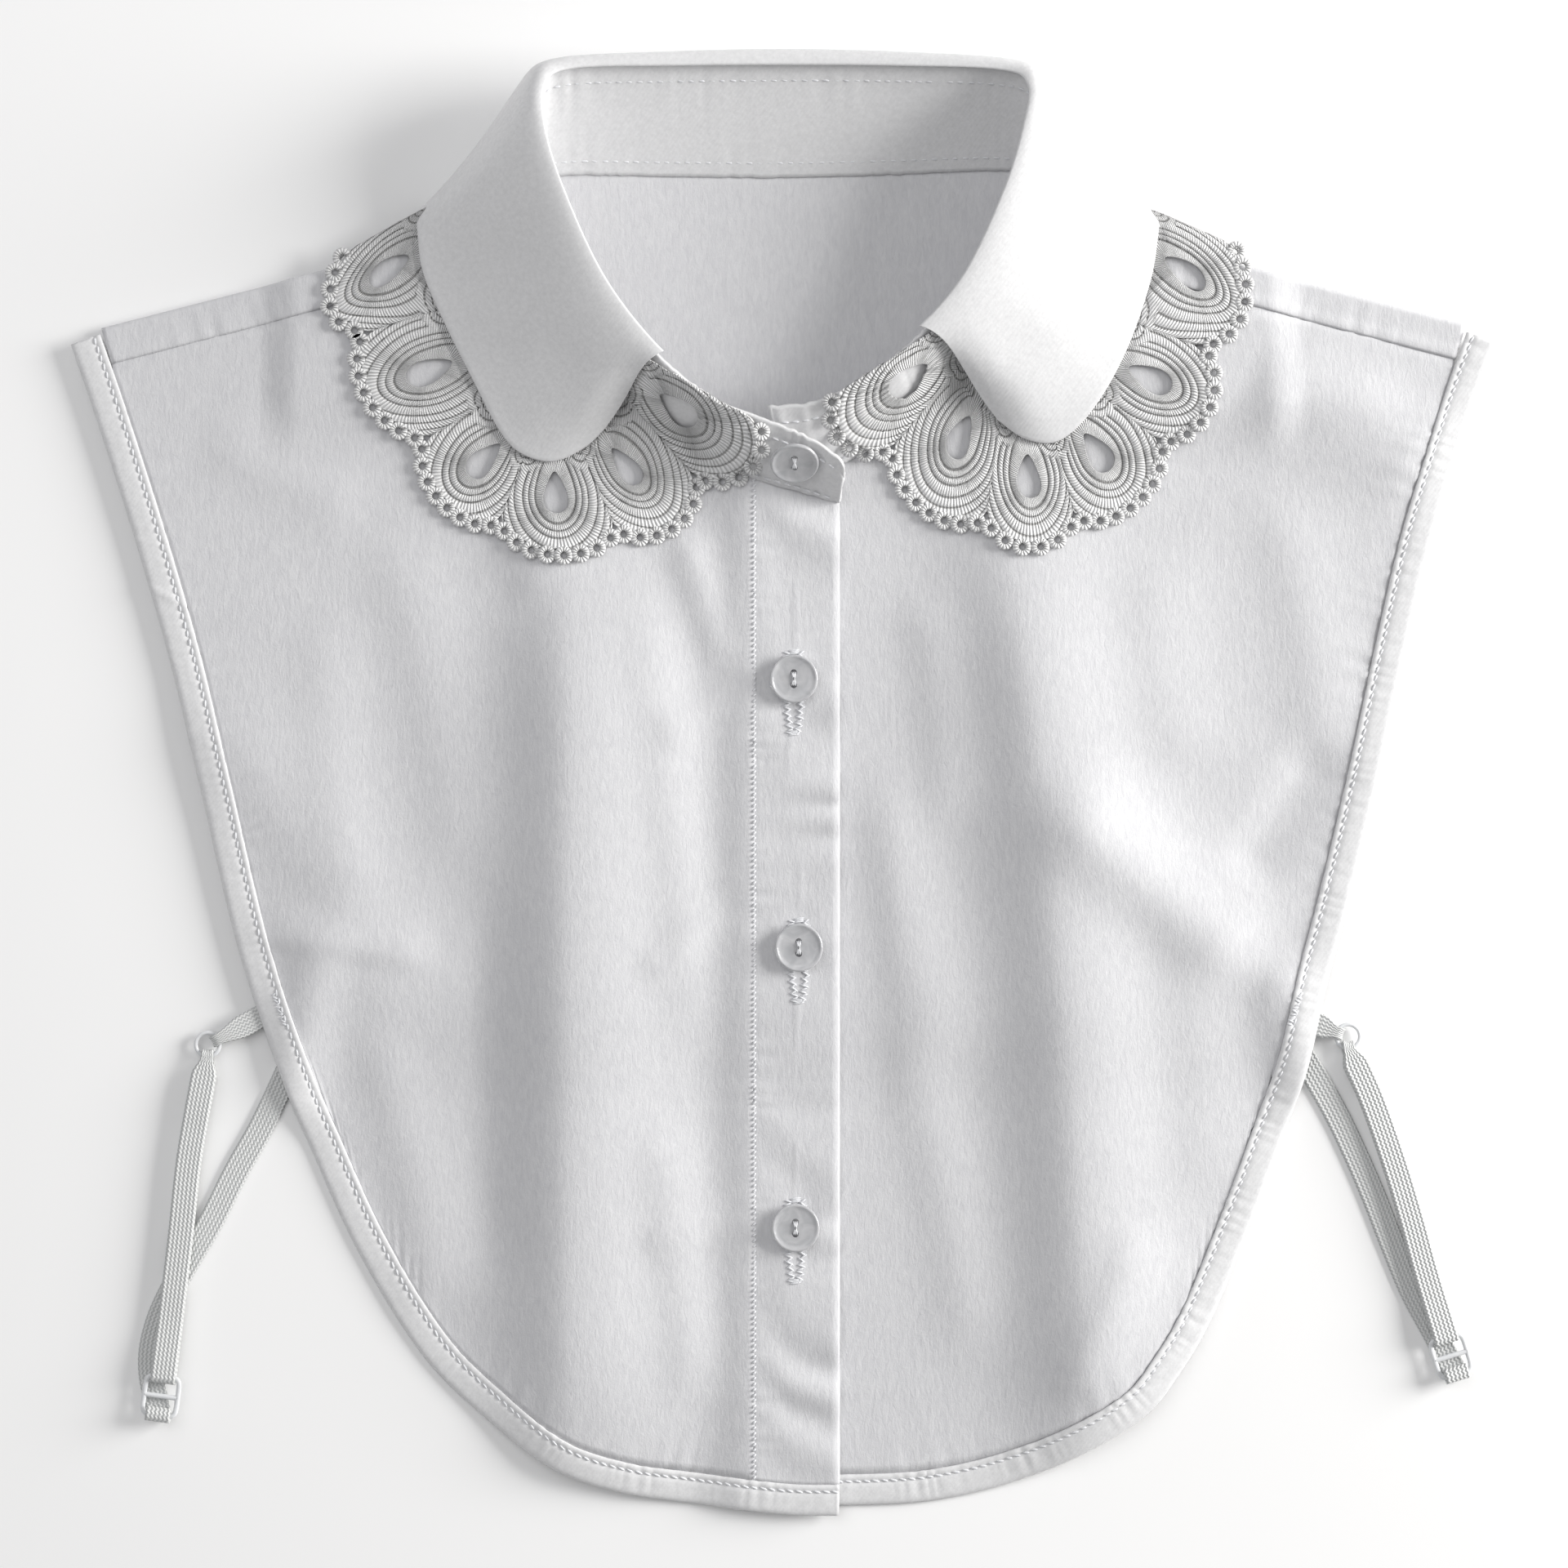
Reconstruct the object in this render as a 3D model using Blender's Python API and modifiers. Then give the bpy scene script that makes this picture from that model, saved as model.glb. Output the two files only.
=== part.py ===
"""A false blouse collar with a guipure lace edge, laid flat: bib fronts, back panel, stand, leaf and straps.

Run with blender --background --python part.py, or from Blender's text editor.
All sizes below are millimetres. +X is to the right and +Y towards the top for someone who looks
down on the collar, and Z = 0 is the table that it lies on.
"""
import math

import bmesh
import bpy
import mathutils
import numpy as np

MM = 0.001
GAP = 0.3                  # between two pieces, at a seam or where one lies on the other
WALL = 1.2                 # cloth wall
PLACKET_WALL = 1.8         # cloth folded twice
BINDING_WALL = 1.6
BINDING_WIDTH = 7.0
LACE_WALL = 1.4            # over the satin stitch bands
LACE_THIN = 0.65           # share of that wall between the bands
BAND_WALL = 0.8            # elastic

TABLE_LEVEL = WALL / 2     # middle of a cloth that lies on the table
LAYER = WALL + GAP         # from one cloth to the next
UNDER_LACE = LACE_WALL + 0.8
NECK_CLEAR = 2.2           # from the stand's foot to the cloth that it is sewn to
BACK_HEM_Y = -38.0
BACK_SET_IN = 1.5          # of the back panel's edge, under the fronts' edge
STAND_BULGE = 1.0
STAND_LIFT = 0.3           # of its foot, over the middle of the cloth that it stands on
HEM_STEP = (-42.0, -9.0)   # from BACK_HEM_Y: where the fronts climb from the table on to the back panel
PLACKET_CLIMB = 16.0       # width over which the left front climbs to the placket
OPENING_CENTRE = np.array([0.0, 118.0])
PLACKET_LEFT_X = -7.1
PLACKET_RIGHT_X = 13.7
RIGHT_EDGE_X = -4.7        # of the right front, under the placket

# The fronts' outer edge, from the shoulder down the side and round the hem: x, y.
OUTLINE_LEFT = [(-173.6, 107.5), (-167.5, 89.9), (-157.9, 59.9), (-149.3, 29.9), (-142.1, 0),
                (-135.3, -30), (-129.7, -50), (-121.3, -74), (-115.7, -87.7), (-103.7, -114),
                (-87.7, -139.7), (-71.7, -155.3), (-55.7, -167), (-39.7, -172.7), (-23.7, -175.3),
                (0.3, -178), (PLACKET_RIGHT_X, -178.3)]
OUTLINE_RIGHT = [(173.9, 107.9), (167.5, 89.9), (158.3, 59.9), (151.3, 29.9), (144.9, 0), (137.7, -30),
                 (132.3, -50), (127.7, -70), (121.3, -88), (113.9, -108), (104.3, -131), (96.3, -144.3),
                 (88.3, -153.9), (72.3, -163.7), (56.3, -170.3), (40.3, -174.3), (24.3, -175.9),
                 (RIGHT_EDGE_X, -176.2)]
SIDE_POINTS = 8            # of each outline: what comes before is the side, then the hem

# The shoulder: where the cloth folds over, and where the front is sewn on. x, y at the arm and at the neck.
SHOULDER = {
    "left": {"fold": ((-166.2, 110.4), (-68.0, 135.6)), "seam": ((-163.9, 102.9), (-70.0, 126.9))},
    "right": {"fold": ((166.6, 111.4), (69.5, 136.6)), "seam": ((164.4, 103.9), (71.6, 127.9))},
}

# Folds of the fronts. Crest from x0, y0 to x1, y1, bowed sideways; height; width of its left and right flank.
FOLDS = [
    # x0,    y0,    x1,     y1,   bow,  high, left, right
    (-51.5, 56.0, -51.5, -172.0, 0.0, 7.0, 15.0, 25.0),
    (-25.0, 62.0, -12.5, 28.0, 0.0, 1.6, 5.0, 6.0),
    (-140.0, 20.0, -92.0, -60.0, 3.0, 1.6, 12.0, 16.0),
    (55.0, 66.0, 75.0, -170.0, 4.5, 6.5, 15.0, 23.0),
    (66.0, -4.0, 114.0, -44.0, 0.0, 3.2, 10.0, 12.0),
    (160.0, 78.0, 118.0, 100.0, 0.0, 2.2, 12.0, 14.0),
    (20.0, 0.0, 40.0, -70.0, 0.0, 1.6, 10.0, 12.0),
    (-112.0, -36.0, -122.5, -84.0, 0.0, 2.2, 8.0, 8.0),
    (119.0, -42.0, 130.5, -80.0, 0.0, 2.0, 8.0, 8.0),
]

# The collar, from the left stand end round the back to the right one: neck seam and roll line.
STAND = [
    # neck x, y,    roll x, y, z
    (13.9, 68.9, 15.5, 77.5, 17.0),
    (4.3, 71.5, 5.5, 84.0, 17.0),
    (-7.5, 74.9, -5.9, 88.6, 17.5),
    (-17.7, 80.5, -17.1, 93.2, 18.0),
    (-39.7, 96.0, -30.7, 104.0, 20.0),
    (-57.7, 117.9, -43.7, 121.0, 22.0),
    (-64.5, 132.0, -53.2, 141.8, 24.0),
    (-64.0, 142.5, -58.0, 157.5, 24.0),
    (-60.7, 147.3, -58.2, 168.5, 21.0),
    (-51.7, 148.9, -51.5, 173.3, 17.5),
    (-25.7, 148.5, -25.7, 174.6, 15.5),
    (0.3, 148.3, 0.3, 175.0, 15.0),
    (26.3, 149.0, 26.3, 174.6, 15.5),
    (52.3, 150.0, 53.0, 173.0, 17.5),
    (62.3, 148.6, 60.0, 168.5, 21.0),
    (66.0, 142.5, 58.6, 157.5, 24.0),
    (66.8, 132.0, 54.0, 142.3, 24.0),
    (60.7, 117.9, 44.9, 122.5, 22.0),
    (42.3, 97.9, 33.7, 109.0, 20.0),
    (24.3, 83.9, 20.3, 98.3, 17.5),
    (10.3, 76.9, 7.5, 92.4, 15.5),
    (0.3, 75.0, -3.5, 91.3, 14.5),
]
NAPE = 11                  # the row in the middle of the back

# The leaf, between its two front edges: a place on the roll line as a row of STAND, and its edge.
# Level is 1 on the fronts, 0 on the table under the back panel, and between them at the shoulder fold.
LEAF = [
    # row,  edge x, y,  level
    (3.95, -43.5, 87.0, 1),
    (4.10, -49.0, 82.0, 1),
    (4.25, -56.5, 78.9, 1),
    (4.45, -64.0, 81.0, 1),
    (4.70, -69.0, 86.5, 1),
    (5.00, -75.0, 98.0, 1),
    (5.45, -82.0, 112.0, 1),
    (6.00, -87.2, 124.0, 1),
    (6.70, -88.6, 133.0, 0.98),
    (7.50, -88.6, 139.8, 0.5),
    (8.40, -83.0, 139.0, 0.02),
    (9.00, -71.0, 137.5, 0),
    (9.60, -45.0, 135.0, 0),
    (11.0, 0.3, 133.5, 0),
    (12.4, 46.0, 135.5, 0),
    (13.0, 72.0, 138.0, 0),
    (13.6, 84.5, 140.0, 0.02),
    (14.5, 91.2, 139.6, 0.5),
    (15.3, 91.0, 133.0, 0.98),
    (16.0, 89.4, 123.0, 1),
    (16.55, 84.8, 109.0, 1),
    (17.0, 79.0, 97.0, 1),
    (17.30, 72.5, 88.0, 1),
    (17.55, 66.0, 83.5, 1),
    (17.75, 59.0, 84.5, 1),
    (17.95, 52.5, 89.0, 1),
]

# Where one lace scallop ends and the next begins: on the leaf's edge, at the valley between them; the level.
LACE = {
    "lace_left": [
        # edge x, y,    valley x, y,  level
        (-29.5, 98.3, -5.0, 86.5, 1),
        (-36.0, 93.0, -20.3, 73.7, 1),
        (-49.0, 82.0, -40.3, 60.7, 1),
        (-63.0, 80.3, -69.7, 62.5, 1),
        (-72.5, 92.5, -88.9, 83.3, 1),
        (-83.7, 115.5, -103.5, 109.5, 1),
        (-88.6, 139.8, -107.3, 129.6, 0.5),
    ],
    "lace_right": [
        (91.2, 139.6, 110.5, 131.5, 0.5),
        (86.3, 112.5, 103.7, 105.9, 1),
        (77.5, 95.0, 93.3, 82.5, 1),
        (66.5, 83.7, 71.5, 63.7, 1),
        (53.0, 88.3, 49.1, 63.3, 1),
        (40.5, 99.5, 25.5, 80.7, 1),
        (34.5, 105.5, 11.5, 93.5, 1),
    ],
    "lace_back": [
        (-88.6, 139.8, -107.3, 129.6, 0.5),
        (-78.0, 138.2, -93.0, 117.0, 0),
        (-60.0, 136.4, -66.0, 114.0, 0),
        (-38.0, 134.6, -40.0, 112.0, 0),
        (-13.0, 133.7, -14.0, 111.0, 0),
        (13.0, 133.7, 14.0, 111.0, 0),
        (38.0, 134.8, 40.0, 112.0, 0),
        (61.0, 136.8, 67.0, 114.0, 0),
        (82.0, 139.6, 94.0, 119.5, 0),
        (91.2, 139.6, 110.5, 131.5, 0.5),
    ],
}
LACE_EDGE_GAP = 0.9        # between the leaf's edge and the lace, seen from above
LACE_CLEAR = 0.5           # from the front to the lace that lies on it
SCALLOP_BULGE = 8.0
TEARDROP_HALF = (2.8, 4.4)  # half its width along the edge, half its length across it
TEARDROP_PLACE = 0.42      # from the leaf's edge to the valley line

BUTTONS = {"button_1": (2.7, 25.7), "button_2": (3.9, -39.7), "button_3": (3.1, -108.1)}
BUTTON_RADIUS = 5.9
BUTTON_THICKNESS = 2.4
COLLAR_BUTTON = {"row": 1.2, "share": 0.62}  # a row of STAND, and how far up from the neck seam

# Straps: the tab from the binding to the ring; places that the elastic loop passes between ring and slider;
# the back strap's route from the back panel to the slider; the slider's centre and its turn in degrees.
STRAPS = {
    "left": {
        "tab": ((-128.2, -57.0), (-138.0, -62.2)),
        "ring": (-140.6, -63.6),
        "loop": [(-143.3, -81.0), (-145.3, -93.1), (-147.1, -109.9), (-149.1, -126.7)],
        "back": [(-111.5, -48.5), (-117.5, -62.0), (-126.9, -82.3), (-133.7, -94.5),
                 (-140.0, -107.0), (-147.0, -119.0), (-152.8, -131.0), (-154.8, -142.0)],
        "slider": ((-151.9, -149.4), -8.0),
    },
    "right": {
        "tab": ((131.0, -58.5), (135.8, -60.2)),
        "ring": (138.2, -61.6),
        "loop": [(143.9, -77.1), (149.3, -92.3), (153.5, -106.1), (156.9, -118.5)],
        "back": [(118.0, -48.5), (123.6, -60.0), (134.3, -78.5), (139.7, -89.5),
                 (144.5, -100.5), (149.0, -112.0), (154.0, -124.0), (159.4, -134.0)],
        "slider": ((163.2, -139.6), 17.0),
    },
}
STRAP_WIDTH = 6.0
RING_RADIUS = 2.9
RING_WIRE = 0.5
RING_BAND = 2.2            # width to which a band is gathered in the ring
TAB_WIDTH = 5.6            # at the binding
TAB_TAPER = 3.0            # where the tab reaches the ring
SLIDER_SIZE = (9.4, 10.4, 0.8)
SLOT_SIZE = (7.0, 3.85)
BEND_RADIUS = RING_WIRE + GAP + BAND_WALL / 2 + 0.05
RING_LEVEL = BEND_RADIUS + BAND_WALL / 2 + 0.05
SLIDER_LEVEL = RING_LEVEL + BAND_WALL + GAP


def collection(name):
    """A new collection in the scene."""
    made = bpy.data.collections.new(name)
    bpy.context.scene.collection.children.link(made)
    return made


def material(name, colour, roughness, metallic=0.0):
    """A Principled material."""
    made = bpy.data.materials.new(name)
    made.use_nodes = True
    shader = made.node_tree.nodes["Principled BSDF"]
    shader.inputs["Base Color"].default_value = (*colour, 1)
    shader.inputs["Roughness"].default_value = roughness
    shader.inputs["Metallic"].default_value = metallic
    return made


def smooth(low, high, value):
    """0 below low, 1 above high, an S between them; high may be the smaller one."""
    t = np.clip((value - low) / (high - low), 0, 1)
    return t * t * (3 - 2 * t)


def spline(a, b, c, d, t):
    """Catmull-Rom value between b and c, t of the way along."""
    return 0.5 * (2 * b + (c - a) * t + (2 * a - 5 * b + 4 * c - d) * t**2 + (3 * b - a - 3 * c + d) * t**3)


def curve(points, count):
    """Points spaced evenly along the Catmull-Rom curve through the places in a table."""
    p = np.asarray(points, float)
    p = np.vstack([2 * p[0] - p[1], p, 2 * p[-1] - p[-2]])
    t = np.linspace(0, 1, 12, endpoint=False)[:, None]
    runs = [spline(a, b, c, d, t) for a, b, c, d in zip(p[:-3], p[1:-2], p[2:-1], p[3:])]
    fine = np.vstack(runs + [p[-2:-1]])
    length = np.r_[0, np.cumsum(np.linalg.norm(np.diff(fine, axis=0), axis=1))]
    at = np.linspace(0, length[-1], count)
    return np.stack([np.interp(at, length, fine[:, k]) for k in range(fine.shape[1])], axis=1)


def table_at(rows, place):
    """Catmull-Rom values of a table's columns at fractional row numbers."""
    p = np.asarray(rows, float)
    p = np.vstack([2 * p[0] - p[1], p, 2 * p[-1] - p[-2]])
    place = np.clip(np.asarray(place, float), 0, len(rows) - 1)
    i = np.minimum(place.astype(int), len(rows) - 2)
    return spline(p[i], p[i + 1], p[i + 2], p[i + 3], (place - i)[:, None])


def sideways(path):
    """Unit vectors to the right of a path, in plan."""
    along = np.gradient(path[:, :2], axis=0)
    along /= np.linalg.norm(along, axis=1)[:, None]
    return np.stack([along[:, 1], -along[:, 0]], axis=1)


def fold_height(x, y):
    """Sum of the folds: a bell across each crest, faded towards its ends."""
    total = np.zeros_like(x, dtype=float)
    for x0, y0, x1, y1, bow, high, left, right in FOLDS:
        run = np.array([x1 - x0, y1 - y0])
        length = np.linalg.norm(run)
        along = ((x - x0) * run[0] + (y - y0) * run[1]) / length**2
        across = ((x - x0) * -run[1] + (y - y0) * run[0]) / length - bow * 4 * along * (1 - along)
        width = np.where(across < 0, left, right)
        ends = smooth(-0.12, 0.2, along) * smooth(1.1, 0.82, along)
        total += high * np.exp(-(across / width) ** 2) * ends
    return total


def back_height(x, y):
    """Middle of the back panel: on the table, and lifted over the leaf and lace folded under it."""
    return TABLE_LEVEL + UNDER_LACE * smooth(76, 98, y) * smooth(128, 118, np.abs(x))


def front_base(x, y):
    """Middle of a front without its folds: on the back panel, and on the table below the back hem."""
    on_back = smooth(BACK_HEM_Y + HEM_STEP[0], BACK_HEM_Y + HEM_STEP[1], y)
    return back_height(x, y) + (BINDING_WALL + GAP) * on_back


def front_right_height(x, y):
    """Middle of the right front, flattened under the placket."""
    return front_base(x, y) + fold_height(x, y) * smooth(PLACKET_RIGHT_X, PLACKET_RIGHT_X + PLACKET_CLIMB, x)


def placket_height(x, y):
    """Middle of the placket, which lies on the right front's bound edge."""
    return front_base(x, y) + (BINDING_WALL - WALL / 2) + GAP + PLACKET_WALL / 2 + 0 * x


def front_left_height(x, y):
    """Middle of the left front, which climbs to the placket."""
    climb = smooth(PLACKET_LEFT_X - PLACKET_CLIMB, PLACKET_LEFT_X, x)
    folds = fold_height(x, y) * (1 - climb)
    return front_base(x, y) + folds + (placket_height(x, y) - front_base(x, y)) * climb


def left_side_height(x, y):
    """Middle of the left front and of its placket."""
    return np.where(x < PLACKET_LEFT_X, front_left_height(x, y), placket_height(x, y))


def front_height(x, y):
    """Middle of what is on top at a place: left front, placket or right front."""
    return np.where(x < PLACKET_RIGHT_X, left_side_height(x, y), front_right_height(x, y))


def coons(top, bottom, left, right):
    """Surface between four edges: rows run down, columns run left to right."""
    u = np.linspace(0, 1, len(top))[None, :, None]
    v = np.linspace(0, 1, len(left))[:, None, None]
    ruled = (1 - v) * top[None] + v * bottom[None] + (1 - u) * left[:, None] + u * right[:, None]
    upper = (1 - u) * top[0] + u * top[-1]
    lower = (1 - u) * bottom[0] + u * bottom[-1]
    return ruled - (1 - v) * upper - v * lower


def grid_faces(rows, columns, start=0, closed=False):
    """Quads of a grid of points, joined up across the last row where closed."""
    index = start + np.arange(rows * columns).reshape(rows, columns)
    if closed:
        index = np.vstack([index, index[:1]])
    quads = np.stack([index[:-1, :-1], index[:-1, 1:], index[1:, 1:], index[1:, :-1]], axis=-1)
    return quads.reshape(-1, 4)


def sheet(name, points, faces, thickness, look, offset=0.0, weights=None, weld=False):
    """A cloth wall: an open surface facing up, given its thickness by Solidify."""
    mesh = bpy.data.meshes.new(name)
    mesh.from_pydata((np.asarray(points).reshape(-1, 3) * MM).tolist(), [], np.asarray(faces).tolist())
    if weld:
        shape = bmesh.new()
        shape.from_mesh(mesh)
        bmesh.ops.remove_doubles(shape, verts=shape.verts, dist=0.00002)
        bmesh.ops.recalc_face_normals(shape, faces=shape.faces)
        if sum(face.normal.z * face.calc_area() for face in shape.faces) < 0:
            bmesh.ops.reverse_faces(shape, faces=shape.faces)
        shape.to_mesh(mesh)
        shape.free()
    made = bpy.data.objects.new(name, mesh)
    PARTS.objects.link(made)
    mesh.materials.append(look)
    mesh.shade_smooth()
    solid = made.modifiers.new("Wall", "SOLIDIFY")
    solid.thickness = thickness * MM
    solid.offset = offset
    if weights is not None:
        group = made.vertex_groups.new(name="bands")
        for index, weight in enumerate(weights):
            group.add([index], float(weight), "REPLACE")
        solid.vertex_group = "bands"
    return made


def with_height(plan, height):
    """Adds z to points in plan from a height function."""
    return np.concatenate([plan, height(plan[..., 0], plan[..., 1])[..., None]], axis=-1)


def outline(side):
    """Outer edge of a front, as places."""
    return OUTLINE_LEFT if side == "left" else OUTLINE_RIGHT


def neck_line(first, last, count, away):
    """Part of the neck seam between two rows of STAND, moved away from the opening."""
    path = table_at([row[:2] for row in STAND], np.linspace(first, last, count))
    return path - sideways(path) * away * np.sign(last - first)


def front(side, columns=14, neck_rows=8, down_rows=14):
    """One bib front, between shoulder seam, neck, centre edge, hem and side."""
    mirror = 1 if side == "left" else -1
    centre_x = PLACKET_LEFT_X - GAP if side == "left" else RIGHT_EDGE_X
    points = outline(side)
    corner_y = points[SIDE_POINTS - 1][1]
    whole = curve(points, 90)
    inner = whole - sideways(whole) * mirror * (BINDING_WIDTH + GAP)
    seam_arm, seam_neck = (np.array(p) - (0, 2 * GAP) for p in SHOULDER[side]["seam"])
    side_edge = inner[(inner[:, 1] < seam_arm[1] - 3) & (inner[:, 1] >= corner_y)]
    hem = inner[(mirror * (centre_x - inner[:, 0]) > 2) & (inner[:, 1] < corner_y)]
    rising = inner[::mirror]
    end = np.array([centre_x, np.interp(centre_x, rising[:, 0], rising[:, 1])])
    rows = neck_rows + down_rows - 1
    left = curve(np.vstack([seam_arm, side_edge, hem[:1]]), rows)
    bottom = curve(np.vstack([hem, end]), columns)
    neck = neck_line(*((5.45, 2.0) if side == "left" else (16.5, 21.3)), neck_rows, NECK_CLEAR)
    neck[0] = seam_neck
    neck[-1, 0] = centre_x
    down = np.stack([np.full(down_rows, centre_x), np.linspace(neck[-1, 1], end[1], down_rows)], axis=1)
    right = np.vstack([neck, down[1:]])
    top = seam_arm + (seam_neck - seam_arm) * np.linspace(0, 1, columns)[:, None]
    plan = coons(top, bottom, left, right)
    height = front_left_height if side == "left" else front_right_height
    faces = grid_faces(rows, columns)
    return sheet(f"front_{side}", with_height(plan, height), face_up(plan, faces), WALL, LOOKS["crepe"])


def face_up(plan, faces):
    """Turns a grid's faces round where they would face the table."""
    p = np.asarray(plan).reshape(-1, np.asarray(plan).shape[-1])[:, :2]
    a, b, c = (p[faces[:, k]] for k in (0, 1, 2))
    area = np.cross(b - a, c - b).sum()
    return faces if area > 0 else faces[:, ::-1]


def ribbon(path, offsets):
    """A strip along a path: one point for each offset to the right of it."""
    side = sideways(path)
    return path[:, None, :2] + side[:, None, :] * np.asarray(offsets)[None, :, None]


def placket(columns=5, rows=24):
    """The left front's button band."""
    top = neck_line(2.0, -0.3, columns, NECK_CLEAR)
    top[[0, -1], 0] = PLACKET_LEFT_X, PLACKET_RIGHT_X
    whole = curve(OUTLINE_LEFT, 90)
    inner = whole - sideways(whole) * (BINDING_WIDTH + GAP)
    x = np.linspace(PLACKET_LEFT_X, PLACKET_RIGHT_X, columns)
    bottom = np.stack([x, np.interp(x, inner[:, 0], inner[:, 1])], axis=1)
    share = np.linspace(0, 1, rows)[:, None]
    left = top[0] + (bottom[0] - top[0]) * share
    right = top[-1] + (bottom[-1] - top[-1]) * share
    plan = coons(top, bottom, left, right)
    faces = face_up(plan, grid_faces(rows, columns))
    return sheet("placket", with_height(plan, placket_height), faces, PLACKET_WALL, LOOKS["crepe"])


def binding(side, count=54):
    """Bias binding round a front's side and hem."""
    mirror = 1 if side == "left" else -1
    path = curve(outline(side), count)
    offsets = -mirror * np.array([0.1, 2.2, 4.9, BINDING_WIDTH])
    plan = ribbon(path, offsets)
    x, y = plan[..., 0], plan[..., 1]
    height = left_side_height(x, y) if side == "left" else front_right_height(x, y)
    lift = (BINDING_WALL - WALL) / 2 + np.array([0.0, 0.25, 0.25, 0.0])
    points = np.concatenate([plan, (height + lift)[..., None]], axis=-1)
    faces = face_up(plan, grid_faces(count, len(offsets)))
    return sheet(f"binding_{side}", points, faces, BINDING_WALL, LOOKS["satin"])


def back_outline(inset, count, top_y):
    """The back panel's side, hem and other side, moved inwards from the fronts' outline."""
    left = curve(OUTLINE_LEFT, 90)
    left = left - sideways(left) * inset
    right = curve(OUTLINE_RIGHT, 90)
    right = right + sideways(right) * inset
    hem_y = BACK_HEM_Y - BINDING_WIDTH + inset - BACK_SET_IN
    left = left[(left[:, 1] > hem_y + 14) & (left[:, 1] < top_y)]
    right = right[(right[:, 1] > hem_y + 14) & (right[:, 1] < top_y)]
    hem_x = np.linspace(left[-1, 0] + 17, right[-1, 0] - 17, 9)
    hem = np.stack([hem_x, np.full(9, hem_y)], axis=1)
    return curve(np.vstack([left, hem, right[::-1]]), count)


def binding_back(count=44):
    """Bias binding round the back panel's sides and hem."""
    path = back_outline(BACK_SET_IN, count, 95)
    plan = ribbon(path, -np.array([0.0, 3.5, BINDING_WIDTH]))
    height = back_height(plan[..., 0], plan[..., 1])
    faces = face_up(plan, grid_faces(count, 3))
    points = np.concatenate([plan, height[..., None]], axis=-1)
    return sheet("binding_back", points, faces, WALL, LOOKS["satin"])


def back_panel(shoulder=7, neck=11, rows=10):
    """The back, with a strip at each shoulder that folds over to the front."""
    edges = {}
    for side in ("left", "right"):
        arm, end = (np.array(p) for p in SHOULDER[side]["fold"])
        edges[side] = arm + (end - arm) * np.linspace(0, 1, shoulder)[:, None]
    nape = neck_line(7.15, 14.85, neck, -NECK_CLEAR)
    top = np.vstack([edges["left"], nape, edges["right"][::-1]])
    outer = back_outline(BACK_SET_IN + BINDING_WIDTH + GAP, 200, 101)
    corner = int(np.argmax(outer[:, 1] < BACK_HEM_Y + 0.4))
    left = curve(np.vstack([top[0], outer[1:corner]]), rows)
    right = curve(np.vstack([top[-1], outer[::-1][1:corner]]), rows)
    bottom = np.linspace(left[-1], right[-1], len(top))
    plan = coons(top, bottom, left, right)
    body = with_height(plan, back_height)
    points = [body.reshape(-1, 3)]
    faces = [face_up(plan, grid_faces(rows, len(top)))]
    count = rows * len(top)
    for side in ("left", "right"):
        edge = edges[side]
        width = np.array(SHOULDER[side]["seam"][0]) - np.array(SHOULDER[side]["fold"][0])
        inward = width / np.linalg.norm(width)
        low = back_height(edge[:, 0], edge[:, 1])
        high = front_height(edge[:, 0], edge[:, 1])
        radius = (high - low) / 2
        strip = []
        for angle in np.radians([-90, -45, 0, 45, 90]):
            flat = edge - inward * (radius * math.cos(angle))[:, None]
            strip.append(np.c_[flat, low + radius * (1 + math.sin(angle))])
        for share in (0.5, 1.0):
            flat = edge + width * share
            strip.append(np.c_[flat, front_height(flat[:, 0], flat[:, 1])])
        strip = np.array(strip)
        points.append(strip.reshape(-1, 3))
        faces.append(grid_faces(len(strip), shoulder, count))
        count += len(strip) * shoulder
    return sheet("back_panel", np.vstack(points), np.vstack(faces), WALL, LOOKS["crepe"], weld=True)


def stand_rows(place):
    """Foot and top of the stand at fractional rows of STAND."""
    row = table_at(STAND, place)
    foot, top = row[:, :2], row[:, 2:]
    x, y = foot.T
    on_front = smooth(8.2, 6.8, place) + smooth(13.8, 15.2, place)
    front_z = np.where(place < NAPE, left_side_height(x, y), front_right_height(x, y))
    back_z = back_height(x, y)
    foot_z = back_z + (front_z - back_z) * on_front + STAND_LIFT
    return np.c_[foot, foot_z], top


def collar_stand(sections=44, across=5):
    """The stand: a band from the neck seam up to the roll line."""
    place = np.linspace(0, len(STAND) - 1, sections)
    foot, top = stand_rows(place)
    q = np.linspace(0, 1, across)[None, :, None]
    points = foot[:, None] + (top - foot)[:, None] * q
    bulge = -sideways(foot)[:, None] * STAND_BULGE * np.sin(math.pi * q)
    points[..., :2] += bulge
    return sheet("collar_stand", points, grid_faces(sections, across)[:, ::-1], WALL, LOOKS["satin"])


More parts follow.
